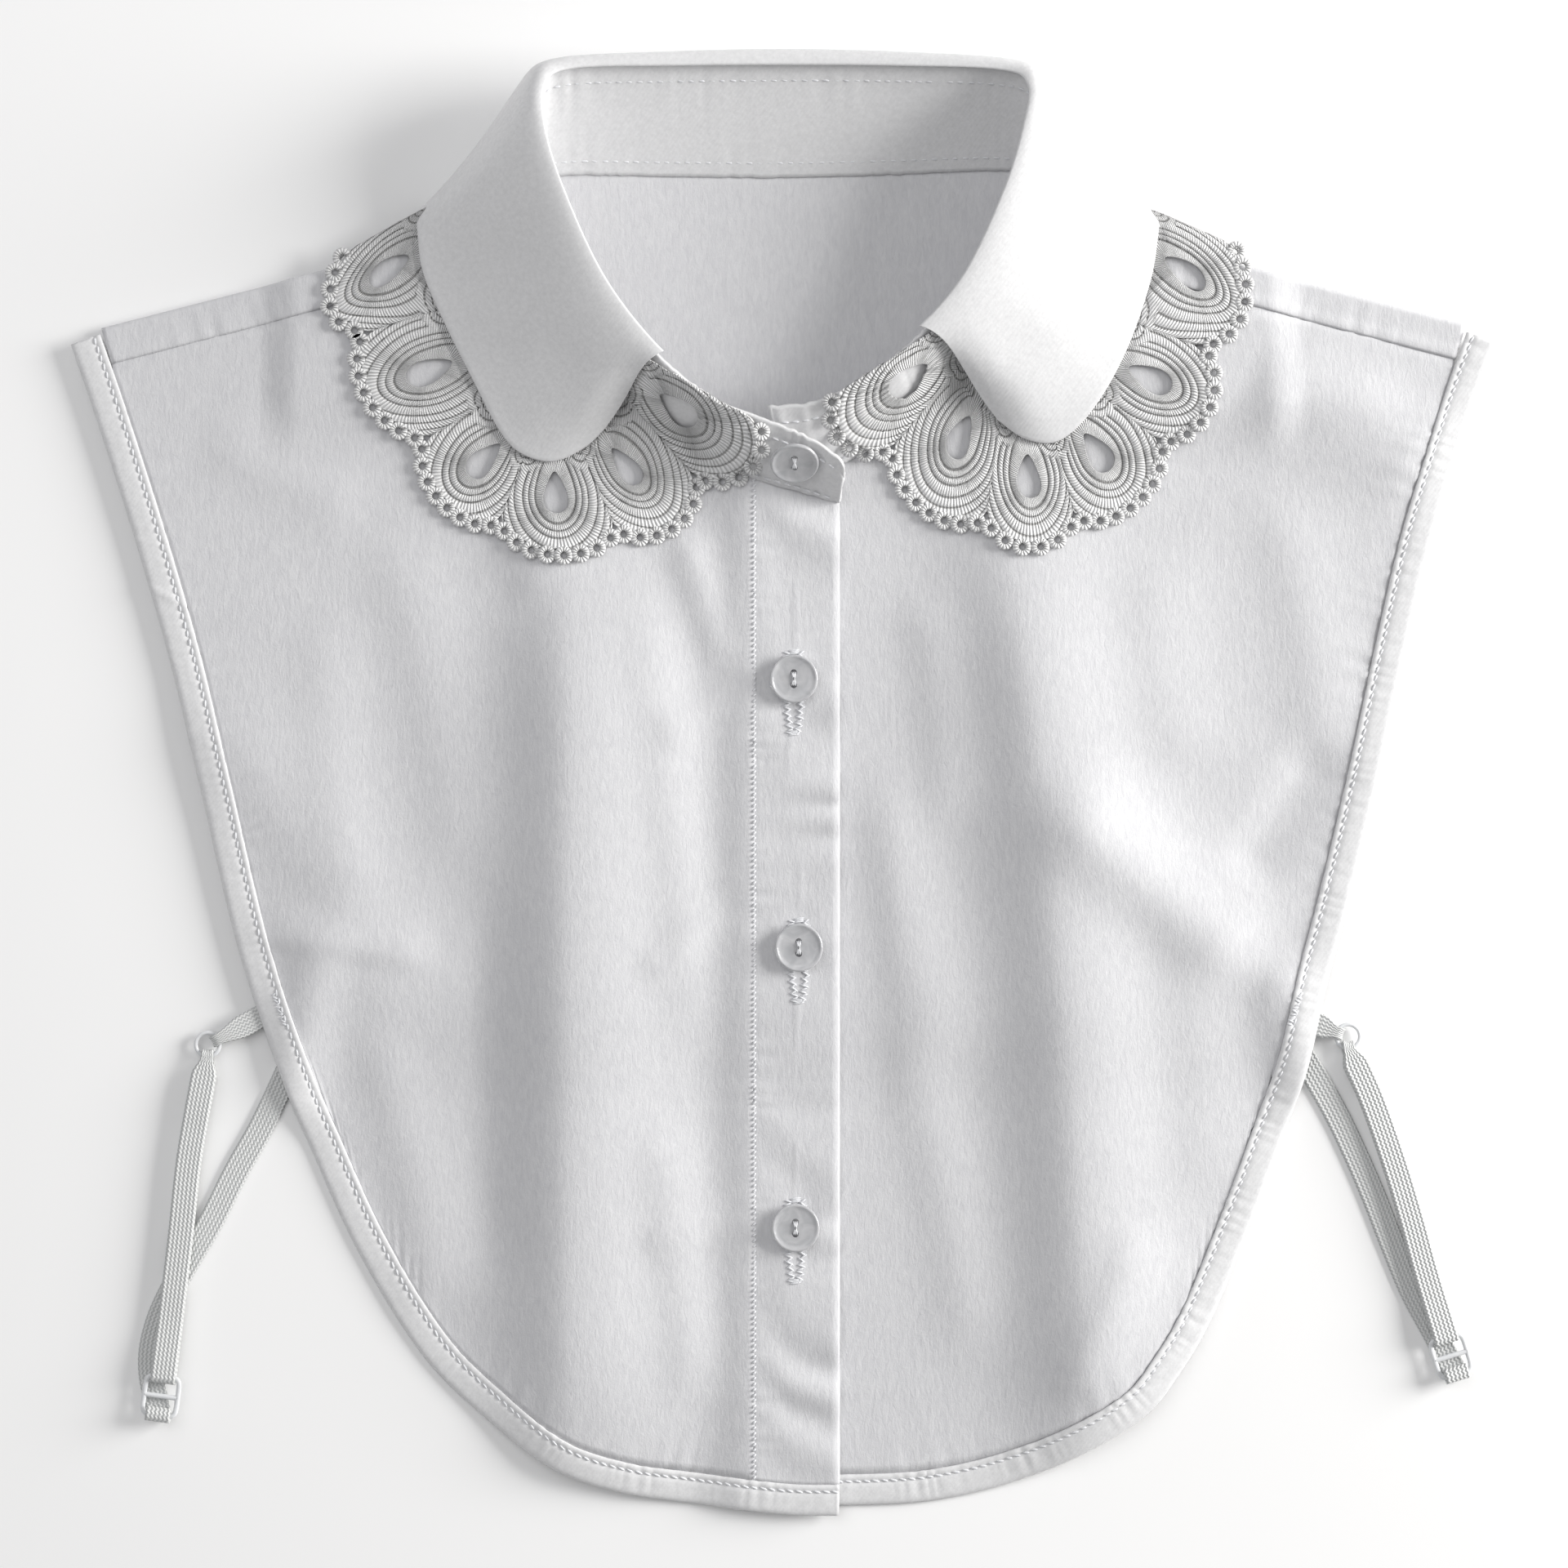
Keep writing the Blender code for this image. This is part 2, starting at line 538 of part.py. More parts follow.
def leaf_sections(place):
    """Control points of the leaf's sections at fractional rows of LEAF: over the stand, out, and down."""
    row, x, y, level = table_at(LEAF, place).T
    level = np.clip(level, 0, 1)[:, None]
    _, top = stand_rows(row)
    out = top[:, :2] - OPENING_CENTRE
    out /= np.linalg.norm(out, axis=1)[:, None]
    edge = np.c_[x, y]
    fall = edge - top[:, :2]
    fall /= np.linalg.norm(fall, axis=1)[:, None]
    on_front = front_height(x, y)[:, None] + LAYER + GAP
    edge_z = TABLE_LEVEL + (on_front - TABLE_LEVEL) * level
    start = np.c_[top[:, :2] - out * 1.6, top[:, 2] + LAYER + 0.3]
    over = np.c_[top[:, :2] + out * 7.0, top[:, 2] + LAYER + 1.6]
    end = np.c_[edge, edge_z]
    before_front = np.c_[edge - fall * 13, on_front + 3.5]
    before_back = np.c_[top[:, :2] + out * 4.5, np.full_like(on_front, -3.5)]
    before = before_back + (before_front - before_back) * smooth(0, 1, level)
    return start, over, before, end, level[:, 0]


def leaf_points(place, share):
    """Points of the leaf: a Bezier curve for each section."""
    start, over, before, end, _ = leaf_sections(place)
    t = np.asarray(share)[None, :, None]
    a, b, c, d = (p[:, None] for p in (start, over, before, end))
    points = (1 - t)**3 * a + 3 * (1 - t)**2 * t * b + 3 * (1 - t) * t**2 * c + t**3 * d
    points[..., 2] = np.maximum(points[..., 2], TABLE_LEVEL)
    return points


def collar_leaf(sections=58, across=8):
    """The leaf, from the roll over the stand to its edge."""
    points = leaf_points(np.linspace(0, len(LEAF) - 1, sections), np.linspace(0, 1, across))
    return sheet("collar_leaf", points, grid_faces(sections, across), WALL, LOOKS["satin"])


def leaf_boundary(name, count=160):
    """The leaf's edge where a piece of lace is sewn on, with the level along it."""
    apexes = [i for i, row in enumerate(LEAF) if row[3] == 0.5]
    last = len(LEAF) - 1
    ends = {"lace_left": (0, apexes[0]), "lace_back": apexes, "lace_right": (apexes[1], last)}[name]
    place = np.linspace(*ends, count)
    edge = leaf_points(place, [1.0])[:, 0]
    level = leaf_sections(place)[4]
    share = np.linspace(0.12, 0.98, 30)
    if name == "lace_left":
        edge = np.vstack([leaf_points(np.array([0.0]), share)[0], edge])
        level = np.r_[np.ones(len(share)), level]
    if name == "lace_right":
        edge = np.vstack([edge, leaf_points(np.array([float(last)]), share)[0][::-1]])
        level = np.r_[level, np.ones(len(share))]
    return edge, level


def over_stand(x, y, first, last):
    """Lowest z that clears the stand's outer face between two of its rows, and 0 away from it."""
    foot, top = stand_rows(np.linspace(first, last, 120))
    span = np.linalg.norm(top[:, :2] - foot[:, :2], axis=1)
    flat = np.stack([x.ravel(), y.ravel()], axis=1)
    clear = np.zeros(len(flat))
    for share in np.linspace(0, 1, 9):
        line = foot + (top - foot) * share
        line[:, :2] -= sideways(foot) * STAND_BULGE * math.sin(math.pi * share)
        away = flat[:, None] - line[None, :, :2]
        gap = np.sqrt((away**2).sum(axis=2))
        nearest = gap.argmin(axis=1)
        steep = (top[nearest, 2] - foot[nearest, 2]) / span[nearest]
        need = line[nearest, 2] + (WALL / 2 + GAP) * np.sqrt(1 + steep**2) + 0.25
        clear = np.maximum(clear, np.where(gap.min(axis=1) < 2.2, need, 0))
    return clear.reshape(x.shape)


def past_fold(x, y):
    """How far points lie beyond the line where the shoulder folds over."""
    far = np.zeros_like(x)
    for side, sign in (("left", -1), ("right", 1)):
        arm, end = (np.array(p) for p in SHOULDER[side]["fold"])
        run = (end - arm) / np.linalg.norm(end - arm)
        beyond = ((y - arm[1]) * run[0] - (x - arm[0]) * run[1]) * -sign
        far = np.where(x * sign > 0, beyond, far)
    return far


def cell_rim(detail):
    """A scallop's edge in its own p, r: p goes along the leaf's edge, r from it to the valleys, 0 to 1."""
    along, side, round_end = detail
    t = [np.linspace(0, 1, n, endpoint=False) for n in (along, side, round_end, side)]
    return np.vstack([np.c_[t[0], 0 * t[0]], np.c_[1 + 0 * t[1], t[1]], np.c_[1 - t[2], 1 + 0 * t[2]],
                      np.c_[0 * t[3], 1 - t[3]]])


def lace_cell(name, boundary, one, two, detail, rings):
    """Points of one scallop, from the lace's plain inner side, and their weight as a stitched band."""
    edge, level = boundary
    ends = []
    for row in (one, two):
        ends.append(int(np.argmin(((edge[:, :2] - row[:2]) ** 2).sum(axis=1))))
    rim = cell_rim(detail)
    centre = np.array([0.5, TEARDROP_PLACE])
    valley_one, valley_two = np.array(one[2:4]), np.array(two[2:4])
    edge_one, edge_two = edge[ends[0], :2], edge[ends[1], :2]
    depth = (np.linalg.norm(valley_one - edge_one) + np.linalg.norm(valley_two - edge_two)) / 2
    width = (np.linalg.norm(valley_two - valley_one) + np.linalg.norm(edge_two - edge_one)) / 2
    aim = (rim - centre) * (width, depth)
    angle = np.arctan2(aim[:, 1], aim[:, 0])
    half = np.array(TEARDROP_HALF) / (width, depth)
    hole = centre + np.c_[half[0] * np.cos(angle) * (1 + 0.4 * np.sin(angle)), half[1] * np.sin(angle)]
    steps = np.linspace(0, 1, rings)[:, None, None]
    inner = hole + (rim - hole) * steps
    p, r = inner[..., 0], inner[..., 1]
    at = ends[0] + p * (ends[1] - ends[0])
    on_edge = np.stack([np.interp(at, np.arange(len(edge)), edge[:, k]) for k in range(3)], axis=-1)
    chord = valley_one + (valley_two - valley_one) * p[..., None]
    away = chord - on_edge[..., :2]
    away /= np.linalg.norm(away, axis=-1)[..., None]
    bulge = SCALLOP_BULGE * np.sin(math.pi * np.clip(p, 0, 1)) ** 0.65
    start = on_edge[..., :2] + away * LACE_EDGE_GAP * (2 if name == "lace_back" else 1)
    plan = start + (chord + away * bulge[..., None] - start) * r[..., None]
    x, y = plan[..., 0], plan[..., 1]
    beyond = past_fold(x, y)
    apex = 1.0 if two[4] == 0.5 else 0.0 if one[4] == 0.5 else None
    if apex is None:
        here = np.full_like(x, one[4])
    else:
        fold_end = (edge[ends[1 if apex else 0]][None, None, :2] * (1 - r[..., None])
                    + (valley_two if apex else valley_one) * r[..., None])
        reach = np.maximum(past_fold(fold_end[..., 0], fold_end[..., 1]), 0.5)
        turn = np.sqrt(np.clip(1 - (np.maximum(beyond, 0) / reach) ** 2, 0, 1))
        here = 0.5 + (0.5 if name != "lace_back" else -0.5) * turn
    table_side = LACE_WALL
    front_side = front_height(x, y) + WALL / 2 + LACE_CLEAR
    edge_level = np.interp(at, np.arange(len(level)), level)
    edge_z = on_edge[..., 2] + (LACE_WALL - WALL / 2) * (1 - edge_level) - WALL / 2 * edge_level
    resting = table_side + (front_side - table_side) * here
    z = edge_z + (resting - edge_z) * np.clip(r * (3 if name == "lace_back" else 1), 0, 1)
    if name != "lace_back":
        span = (0, 6) if name == "lace_left" else (16, 21)
        z = np.where(here > 0.99, np.maximum(z, over_stand(x, y, *span)), z)
        z = np.where(here > 0.99, np.maximum(z, front_side), z)
    weight = np.where(np.arange(rings)[:, None] % 2 == 0, LACE_THIN, 1.0) + 0 * p
    weight[-1] = LACE_THIN
    weight[-1, detail[0] + detail[1]:detail[0] + detail[1] + detail[2]] = 1.0
    return np.stack([x, y, z], axis=-1), weight


def lace(name, detail=(5, 2, 8), rings=4):
    """A run of guipure scallops, each a web round a teardrop hole."""
    boundary = leaf_boundary(name)
    rows = LACE[name]
    points, faces, weights, count = [], [], [], 0
    for one, two in zip(rows[:-1], rows[1:]):
        cell, weight = lace_cell(name, boundary, one, two, detail, rings)
        loop = np.concatenate([cell, cell[:, :1]], axis=1)
        index = count + np.arange(loop.shape[0] * loop.shape[1]).reshape(loop.shape[:2])
        quads = np.stack([index[:-1, :-1], index[1:, :-1], index[1:, 1:], index[:-1, 1:]], axis=-1)
        faces.append(quads.reshape(-1, 4))
        points.append(loop.reshape(-1, 3))
        weights.append(np.concatenate([weight, weight[:, :1]], axis=1).ravel())
        count += loop.shape[0] * loop.shape[1]
    points, faces, weights = np.vstack(points), np.vstack(faces), np.concatenate(weights)
    key = np.round(points / 0.01).astype(int)
    _, first, inverse = np.unique(key, axis=0, return_index=True, return_inverse=True)
    inverse = inverse.ravel()
    faces = inverse[faces]
    faces = faces[[len(set(face)) == 4 for face in faces.tolist()]]
    points, weights = points[first], weights[first]
    faces = face_up(points, faces)
    if name == "lace_back":
        faces = faces[:, ::-1]
        weights = np.ones_like(weights)
    return sheet(name, points, faces, LACE_WALL, LOOKS["lace"], offset=1.0, weights=weights)


def button(name, centre, axis=(0.0, 0.0, 1.0)):
    """A turned two hole button: a profile with a raised rim, and two holes cut through it."""
    r, t = BUTTON_RADIUS, BUTTON_THICKNESS / 2
    profile = [(0, t * 0.35), (r * 0.62, t * 0.35), (r * 0.74, t * 0.95), (r * 0.88, t), (r, t * 0.45),
               (r, -t * 0.2), (r * 0.8, -t * 0.8), (0, -t)]
    shape = bmesh.new()
    verts = [shape.verts.new((x * MM, 0, z * MM)) for x, z in profile]
    edges = [shape.edges.new(pair) for pair in zip(verts[:-1], verts[1:])]
    bmesh.ops.spin(shape, geom=verts + edges, axis=(0, 0, 1), cent=(0, 0, 0), angle=math.tau, steps=16)
    bmesh.ops.remove_doubles(shape, verts=shape.verts, dist=0.00001)
    bmesh.ops.recalc_face_normals(shape, faces=shape.faces)
    mesh = bpy.data.meshes.new(name)
    shape.to_mesh(mesh)
    shape.free()
    made = bpy.data.objects.new(name, mesh)
    PARTS.objects.link(made)
    mesh.materials.append(LOOKS["button"])
    across = np.array(axis) / np.linalg.norm(axis)
    turn = mathutils.Vector((0, 0, 1)).rotation_difference(mathutils.Vector(across.tolist()))
    made.rotation_mode = "QUATERNION"
    made.rotation_quaternion = turn
    made.location = [c * MM for c in centre]
    for sign in (-1, 1):
        bpy.ops.mesh.primitive_cylinder_add(vertices=6, radius=0.8 * MM, depth=8 * MM)
        drill = bpy.context.object
        move_to(drill, CUTTERS)
        drill.name = f"{name}_hole_{sign}"
        drill.rotation_mode = "QUATERNION"
        drill.rotation_quaternion = turn
        drill.location = made.location + turn @ mathutils.Vector((0, sign * 1.5 * MM, 0))
        drill.hide_render = True
        drill.display_type = "WIRE"
        cut = made.modifiers.new("Hole", "BOOLEAN")
        cut.operation = "DIFFERENCE"
        cut.object = drill
    return made


def collar_button():
    """The button on the left end of the stand, leaning as the stand does."""
    foot, top = (point[0] for point in stand_rows(np.array([COLLAR_BUTTON["row"]])))
    up = (top - foot) / np.linalg.norm(top - foot)
    side = np.array([1.0, 0.0, 0.0])
    face = np.cross(side, up)
    face *= -np.sign(face[1]) / np.linalg.norm(face)
    off = WALL / 2 + STAND_BULGE + 3 * GAP + BUTTON_THICKNESS / 2
    centre = foot + (top - foot) * COLLAR_BUTTON["share"] + face * off
    button("button_collar", centre, face)


def move_to(made, group):
    """Moves an object into one collection."""
    for old in list(made.users_collection):
        old.objects.unlink(made)
    group.objects.link(made)


def ring(name, centre):
    """The small ring between tab and strap."""
    bpy.ops.mesh.primitive_torus_add(major_radius=RING_RADIUS * MM, minor_radius=RING_WIRE * MM,
                                     major_segments=18, minor_segments=5)
    made = bpy.context.object
    made.name = name
    made.data.name = name
    move_to(made, PARTS)
    made.data.materials.append(LOOKS["metal"])
    made.data.shade_smooth()
    made.location = (centre[0] * MM, centre[1] * MM, RING_LEVEL * MM)
    return made


def slider(name, centre, turn):
    """A flat slider with two slots, one for each strap."""
    width, length, thick = SLIDER_SIZE
    made = box(name, SLIDER_SIZE, centre, turn, PARTS)
    made.data.materials.append(LOOKS["metal"])
    bar = (length - 2 * SLOT_SIZE[1]) / 3
    for sign in (-1, 1):
        off = sign * (SLOT_SIZE[1] + bar) / 2
        angle = math.radians(turn)
        place = (centre[0] - off * math.sin(angle), centre[1] + off * math.cos(angle))
        slot = box(f"{name}_slot_{sign}", (*SLOT_SIZE, 4 * thick), place, turn, CUTTERS)
        slot.hide_render = True
        slot.display_type = "WIRE"
        cut = made.modifiers.new("Slot", "BOOLEAN")
        cut.operation = "DIFFERENCE"
        cut.object = slot
    return made


def box(name, size, centre, turn, group):
    """A box turned about Z at the slider's level."""
    bpy.ops.mesh.primitive_cube_add(size=1)
    made = bpy.context.object
    made.name = name
    made.data.name = name
    move_to(made, group)
    made.data.transform(mathutils.Matrix.Diagonal((*[s * MM for s in size], 1)))
    made.location = (centre[0] * MM, centre[1] * MM, SLIDER_LEVEL * MM)
    made.rotation_euler = (0, 0, math.radians(turn))
    return made


def hairpin(wire, along, level, count=9):
    """Half a turn round a wire, from its upper side to its lower side: x, y, z."""
    wire, along = np.array(wire), np.array(along) / np.linalg.norm(along)
    angle = np.radians(np.linspace(90, -90, count))
    flat = wire + np.cos(angle)[:, None] * BEND_RADIUS * along
    return np.c_[flat, level + BEND_RADIUS * np.sin(angle)]


def band(name, path, width, look, across, closed=False):
    """A flat band along a path of x, y, z: a width and a sideways direction for each point."""
    offsets = np.array([-0.5, 0.5])
    points = np.repeat(path[:, None], 2, axis=1)
    points[..., :2] += (across * np.asarray(width)[:, None])[:, None] * offsets[None, :, None]
    return sheet(name, points, grid_faces(len(path), 2, closed=closed), BAND_WALL, look)


def tab(side):
    """The elastic tab at the binding, folded round the ring."""
    rows = STRAPS[side]
    start, end = (np.array(p) for p in rows["tab"])
    along = (end - start) / np.linalg.norm(end - start)
    wire = np.array(rows["ring"]) - along * RING_RADIUS
    turn = hairpin(wire, along, RING_LEVEL)
    share = np.linspace(0, 0.85, 4)[:, None]
    above = np.r_[start, turn[0, 2]] * (1 - share) + turn[0] * share
    below = (np.r_[start + along * 1.5, turn[-1, 2]] * (1 - share) + turn[-1] * share)[::-1]
    path = np.vstack([above, turn, below])
    taper = np.linspace(TAB_WIDTH, TAB_TAPER, len(above))
    gathered = np.r_[taper, np.full(len(turn), RING_BAND), taper[::-1]]
    across = np.repeat([[along[1], -along[0]]], len(path), axis=0)
    band(f"tab_{side}", path, gathered, LOOKS["elastic"], across)


def strap_loop(side, centre, up, edge_bar, count=20):
    """The elastic loop: through the ring, down over the slider's upper bar, and back under itself."""
    rows = STRAPS[side]
    ring_at = np.array(rows["ring"])
    first = ring_at + (0, -RING_RADIUS)
    last = centre + up * edge_bar
    route = curve([first] + rows["loop"] + [last], count)
    normal = sideways(route)
    at_ring = hairpin(first, (0, 1), RING_LEVEL)
    at_bar = hairpin(last, -up, SLIDER_LEVEL)
    share = np.linspace(0, 1, count)
    climb = smooth(0, 0.2, share) * (SLIDER_LEVEL - RING_LEVEL)
    upper = np.c_[route, at_ring[0, 2] + climb][1:-1]
    lower = np.c_[route, at_ring[-1, 2] + climb][1:-1]
    squeeze = smooth(0, 0.25, share[1:-1]) * smooth(1, 0.8, share[1:-1])
    upper[:, 2] -= squeeze * (2 * BEND_RADIUS - BAND_WALL - 2 * GAP)
    path = np.vstack([at_ring[::-1], upper, at_bar, lower[::-1]])
    n = len(at_ring)
    ring_across = np.repeat([[-1.0, 0.0]], n, axis=0)
    bar_across = np.repeat([[-up[1], up[0]]], n, axis=0)
    across = np.vstack([ring_across, normal[1:-1], bar_across, normal[1:-1][::-1]])
    width = RING_BAND + (STRAP_WIDTH - RING_BAND) * smooth(0.02, 0.09, share[1:-1])
    widths = np.r_[np.full(n, RING_BAND), width, np.full(n, STRAP_WIDTH), width[::-1]]
    band(f"strap_loop_{side}", path, widths, LOOKS["elastic"], across, closed=True)


def strap_back(side, centre, up, edge_bar, count=26):
    """The strap from the back panel: under the loop and the slider, and round its lower bar."""
    last = centre - up * edge_bar
    route = curve(STRAPS[side]["back"] + [tuple(last)], count)
    normal = sideways(route)
    turn = hairpin(last, -up, SLIDER_LEVEL)[::-1]
    low = RING_LEVEL - BEND_RADIUS
    share = np.linspace(0, 1, count)
    z = low + smooth(0.9, 1, share) * (turn[0, 2] - low)
    tail = turn[-1:] + np.c_[up[None] * 2.2, [[0.0]]]
    path = np.vstack([np.c_[route, z][:-1], turn, tail])
    bar_across = np.repeat([[-up[1], up[0]]], len(turn) + 1, axis=0)
    across = np.vstack([normal[:-1], bar_across])
    band(f"strap_back_{side}", path, np.full(len(path), STRAP_WIDTH), LOOKS["elastic"], across)


def straps(side):
    """Tab, ring, elastic loop, slider and back strap of one side."""
    (x, y), turn = STRAPS[side]["slider"]
    centre = np.array([x, y])
    up = np.array([-math.sin(math.radians(turn)), math.cos(math.radians(turn))])
    bar = (SLIDER_SIZE[1] - 2 * SLOT_SIZE[1]) / 3
    edge_bar = (SLIDER_SIZE[1] - bar) / 2
    ring(f"ring_{side}", STRAPS[side]["ring"])
    slider(f"slider_{side}", centre, turn)
    tab(side)
    strap_loop(side, centre, up, edge_bar)
    strap_back(side, centre, up, edge_bar)


for old in list(bpy.data.objects):
    bpy.data.objects.remove(old, do_unlink=True)
PARTS = collection("lace_collar")
CUTTERS = collection("cutters")
LOOKS = {
    "crepe": material("White crepe", (0.82, 0.83, 0.85), 0.75),
    "satin": material("White satin", (0.84, 0.85, 0.87), 0.5),
    "lace": material("White guipure", (0.86, 0.87, 0.88), 0.7),
    "button": material("Translucent resin", (0.8, 0.82, 0.84), 0.25),
    "elastic": material("White elastic", (0.84, 0.85, 0.86), 0.7),
    "metal": material("White coated metal", (0.85, 0.85, 0.86), 0.3),
}

back_panel()
binding_back()
front("left")
front("right")
placket()
binding("left")
binding("right")
collar_stand()
collar_leaf()
lace("lace_left")
lace("lace_right")
lace("lace_back", detail=(5, 2, 6), rings=3)
for name, (x, y) in BUTTONS.items():
    top = float(placket_height(np.array([x]), np.array([y]))[0]) + PLACKET_WALL / 2
    button(name, (x, y, top + GAP + BUTTON_THICKNESS / 2))
collar_button()
for side in ("left", "right"):
    straps(side)
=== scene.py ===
# %% [markdown]
# A false blouse collar, laid flat
#
# The object is a white false collar with its bib: two short fronts with a button placket, a back
# panel, a stand, a leaf with a guipure lace edge, bias bound edges and elastic side straps.
# The frame holds the solids of each piece. Here every piece gets its cloth: a fine surface on the
# same formulas, with its creases, sewing and finish. All sizes are millimetres until a mesh is made.

# %% Load the frame
import math

import bmesh
import bpy
import mathutils
import numpy as np
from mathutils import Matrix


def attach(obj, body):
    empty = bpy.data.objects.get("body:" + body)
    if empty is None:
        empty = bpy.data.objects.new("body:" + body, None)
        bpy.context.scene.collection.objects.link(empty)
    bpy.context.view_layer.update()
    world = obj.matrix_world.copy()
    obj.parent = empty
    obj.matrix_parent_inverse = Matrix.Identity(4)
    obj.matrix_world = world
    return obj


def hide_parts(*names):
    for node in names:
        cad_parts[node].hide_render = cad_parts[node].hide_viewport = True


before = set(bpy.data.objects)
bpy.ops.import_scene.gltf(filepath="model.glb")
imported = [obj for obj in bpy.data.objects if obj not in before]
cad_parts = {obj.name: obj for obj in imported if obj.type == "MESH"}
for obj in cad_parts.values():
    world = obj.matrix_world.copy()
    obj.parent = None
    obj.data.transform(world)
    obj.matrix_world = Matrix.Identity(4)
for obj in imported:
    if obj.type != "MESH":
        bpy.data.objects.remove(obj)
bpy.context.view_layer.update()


# %% [markdown]
# Small tools
#
# A cloth piece is a grid of points worked out with numpy. It could be sculpted, but a formula keeps
# every seam exactly where its neighbour expects it. These helpers turn arrays into meshes.

# %% Arrays to meshes
MM = 0.001


def mesh_piece(name, points, faces, look, uv=None):
    """A mesh from an array of points in mm and quads; uv holds one pair for each point."""
    points = np.asarray(points, float).reshape(-1, 3)
    faces = np.asarray(faces, np.int32).reshape(-1, 4)
    mesh = bpy.data.meshes.new(name)
    mesh.vertices.add(len(points))
    mesh.vertices.foreach_set("co", (points * MM).ravel())
    mesh.loops.add(faces.size)
    mesh.loops.foreach_set("vertex_index", faces.ravel())
    mesh.polygons.add(len(faces))
    mesh.polygons.foreach_set("loop_start", np.arange(0, faces.size, 4, dtype=np.int32))
    mesh.update(calc_edges=True)
    mesh.validate()
    if uv is not None:
        layer = mesh.uv_layers.new(name="thread")
        index = np.empty(len(mesh.loops), np.int32)
        mesh.loops.foreach_get("vertex_index", index)
        layer.data.foreach_set("uv", np.asarray(uv, float).reshape(-1, 2)[index].ravel())
    mesh.shade_smooth()
    mesh.materials.append(look)
    made = bpy.data.objects.new(f"{name}_fine", mesh)
    bpy.context.scene.collection.objects.link(made)
    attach(made, "root")
    return made


def wall(made, thickness, offset=0.0):
    """Gives an open surface its thickness."""
    solid = made.modifiers.new("Wall", "SOLIDIFY")
    solid.thickness = thickness * MM
    solid.offset = offset
    solid.use_rim = True
    return made


def merge(made, distance=0.02, up=True):
    """Welds doubled points and turns the faces one way, upwards on the whole where up."""
    shape = bmesh.new()
    shape.from_mesh(made.data)
    bmesh.ops.remove_doubles(shape, verts=shape.verts, dist=distance * MM)
    bmesh.ops.recalc_face_normals(shape, faces=shape.faces)
    if up and sum(face.normal.z * face.calc_area() for face in shape.faces) < 0:
        bmesh.ops.reverse_faces(shape, faces=shape.faces)
    shape.to_mesh(made.data)
    shape.free()
    made.data.shade_smooth()
    return made


def grid_faces(rows, columns, start=0, closed=False):
    """Quads of a grid of points, joined up across the last row where closed."""
    index = start + np.arange(rows * columns).reshape(rows, columns)
    if closed:
        index = np.vstack([index, index[:1]])
    return np.stack([index[:-1, :-1], index[:-1, 1:], index[1:, 1:], index[1:, :-1]], axis=-1).reshape(-1, 4)


def face_up(plan, faces):
    """Turns a grid's faces round where they would face the table."""
    p = np.asarray(plan).reshape(-1, np.asarray(plan).shape[-1])[:, :2]
    a, b, c = (p[faces[:, k]] for k in (0, 1, 2))
    one, two = b - a, c - b
    return faces if (one[:, 0] * two[:, 1] - one[:, 1] * two[:, 0]).sum() > 0 else faces[:, ::-1]


# %% [markdown]
# Curves and tables
#
# Sewn edges are long gentle curves. A Catmull-Rom spline passes through each measured place, so a
# short table of places is enough for a whole edge.

# %% Curves
def smooth(low, high, value):
    """0 below low, 1 above high, an S between them; high may be the smaller one."""
    t = np.clip((value - low) / (high - low), 0, 1)
    return t * t * (3 - 2 * t)


def spline(p, i, t):
    """Catmull-Rom value between rows i + 1 and i + 2 of p, t of the way along."""
    a, b, c, d = p[i], p[i + 1], p[i + 2], p[i + 3]
    return 0.5 * (2 * b + (c - a) * t + (2 * a - 5 * b + 4 * c - d) * t**2 + (3 * b - a - 3 * c + d) * t**3)


def table_at(rows, place):
    """A table's columns at fractional row numbers."""
    p = np.asarray(rows, float)
    p = np.vstack([2 * p[0] - p[1], p, 2 * p[-1] - p[-2]])
    place = np.clip(np.asarray(place, float), 0, len(rows) - 1)
    i = np.minimum(place.astype(int), len(rows) - 2)
    return spline(p, i, (place - i)[:, None])


def curve(points, count):
    """Points spaced evenly along the spline through a table's rows."""
    fine = table_at(points, np.linspace(0, len(points) - 1, 12 * len(points)))
    length = np.r_[0, np.cumsum(np.linalg.norm(np.diff(fine, axis=0), axis=1))]
    at = np.linspace(0, length[-1], count)
    return np.stack([np.interp(at, length, fine[:, k]) for k in range(fine.shape[1])], axis=1)


def sideways(path):
    """Unit vectors to the right of a path, in plan."""
    along = np.gradient(path[:, :2], axis=0)
    along /= np.linalg.norm(along, axis=1)[:, None]
    return np.stack([along[:, 1], -along[:, 0]], axis=1)


def coons(top, bottom, left, right):
    """Surface between four edges: the two ruled surfaces added, less the bilinear one of the corners."""
    u = np.linspace(0, 1, len(top))[None, :, None]
    v = np.linspace(0, 1, len(left))[:, None, None]
    ruled = (1 - v) * top[None] + v * bottom[None] + (1 - u) * left[:, None] + u * right[:, None]
    return ruled - ((1 - u) * (1 - v) * top[0] + u * (1 - v) * top[-1] + (1 - u) * v * bottom[0] + u * v * bottom[-1])


def with_height(plan, height):
    """Adds z to points in plan from a height function."""
    return np.concatenate([plan, height(plan[..., 0], plan[..., 1])[..., None]], axis=-1)


# %% [markdown]
# The cut, and how it lies
#
# These are the sizes of the solids: walls, seams, outlines and the shoulder line. The cloth lies on
# the table, the back panel first, the fronts on it, and the placket on the right front's edge.

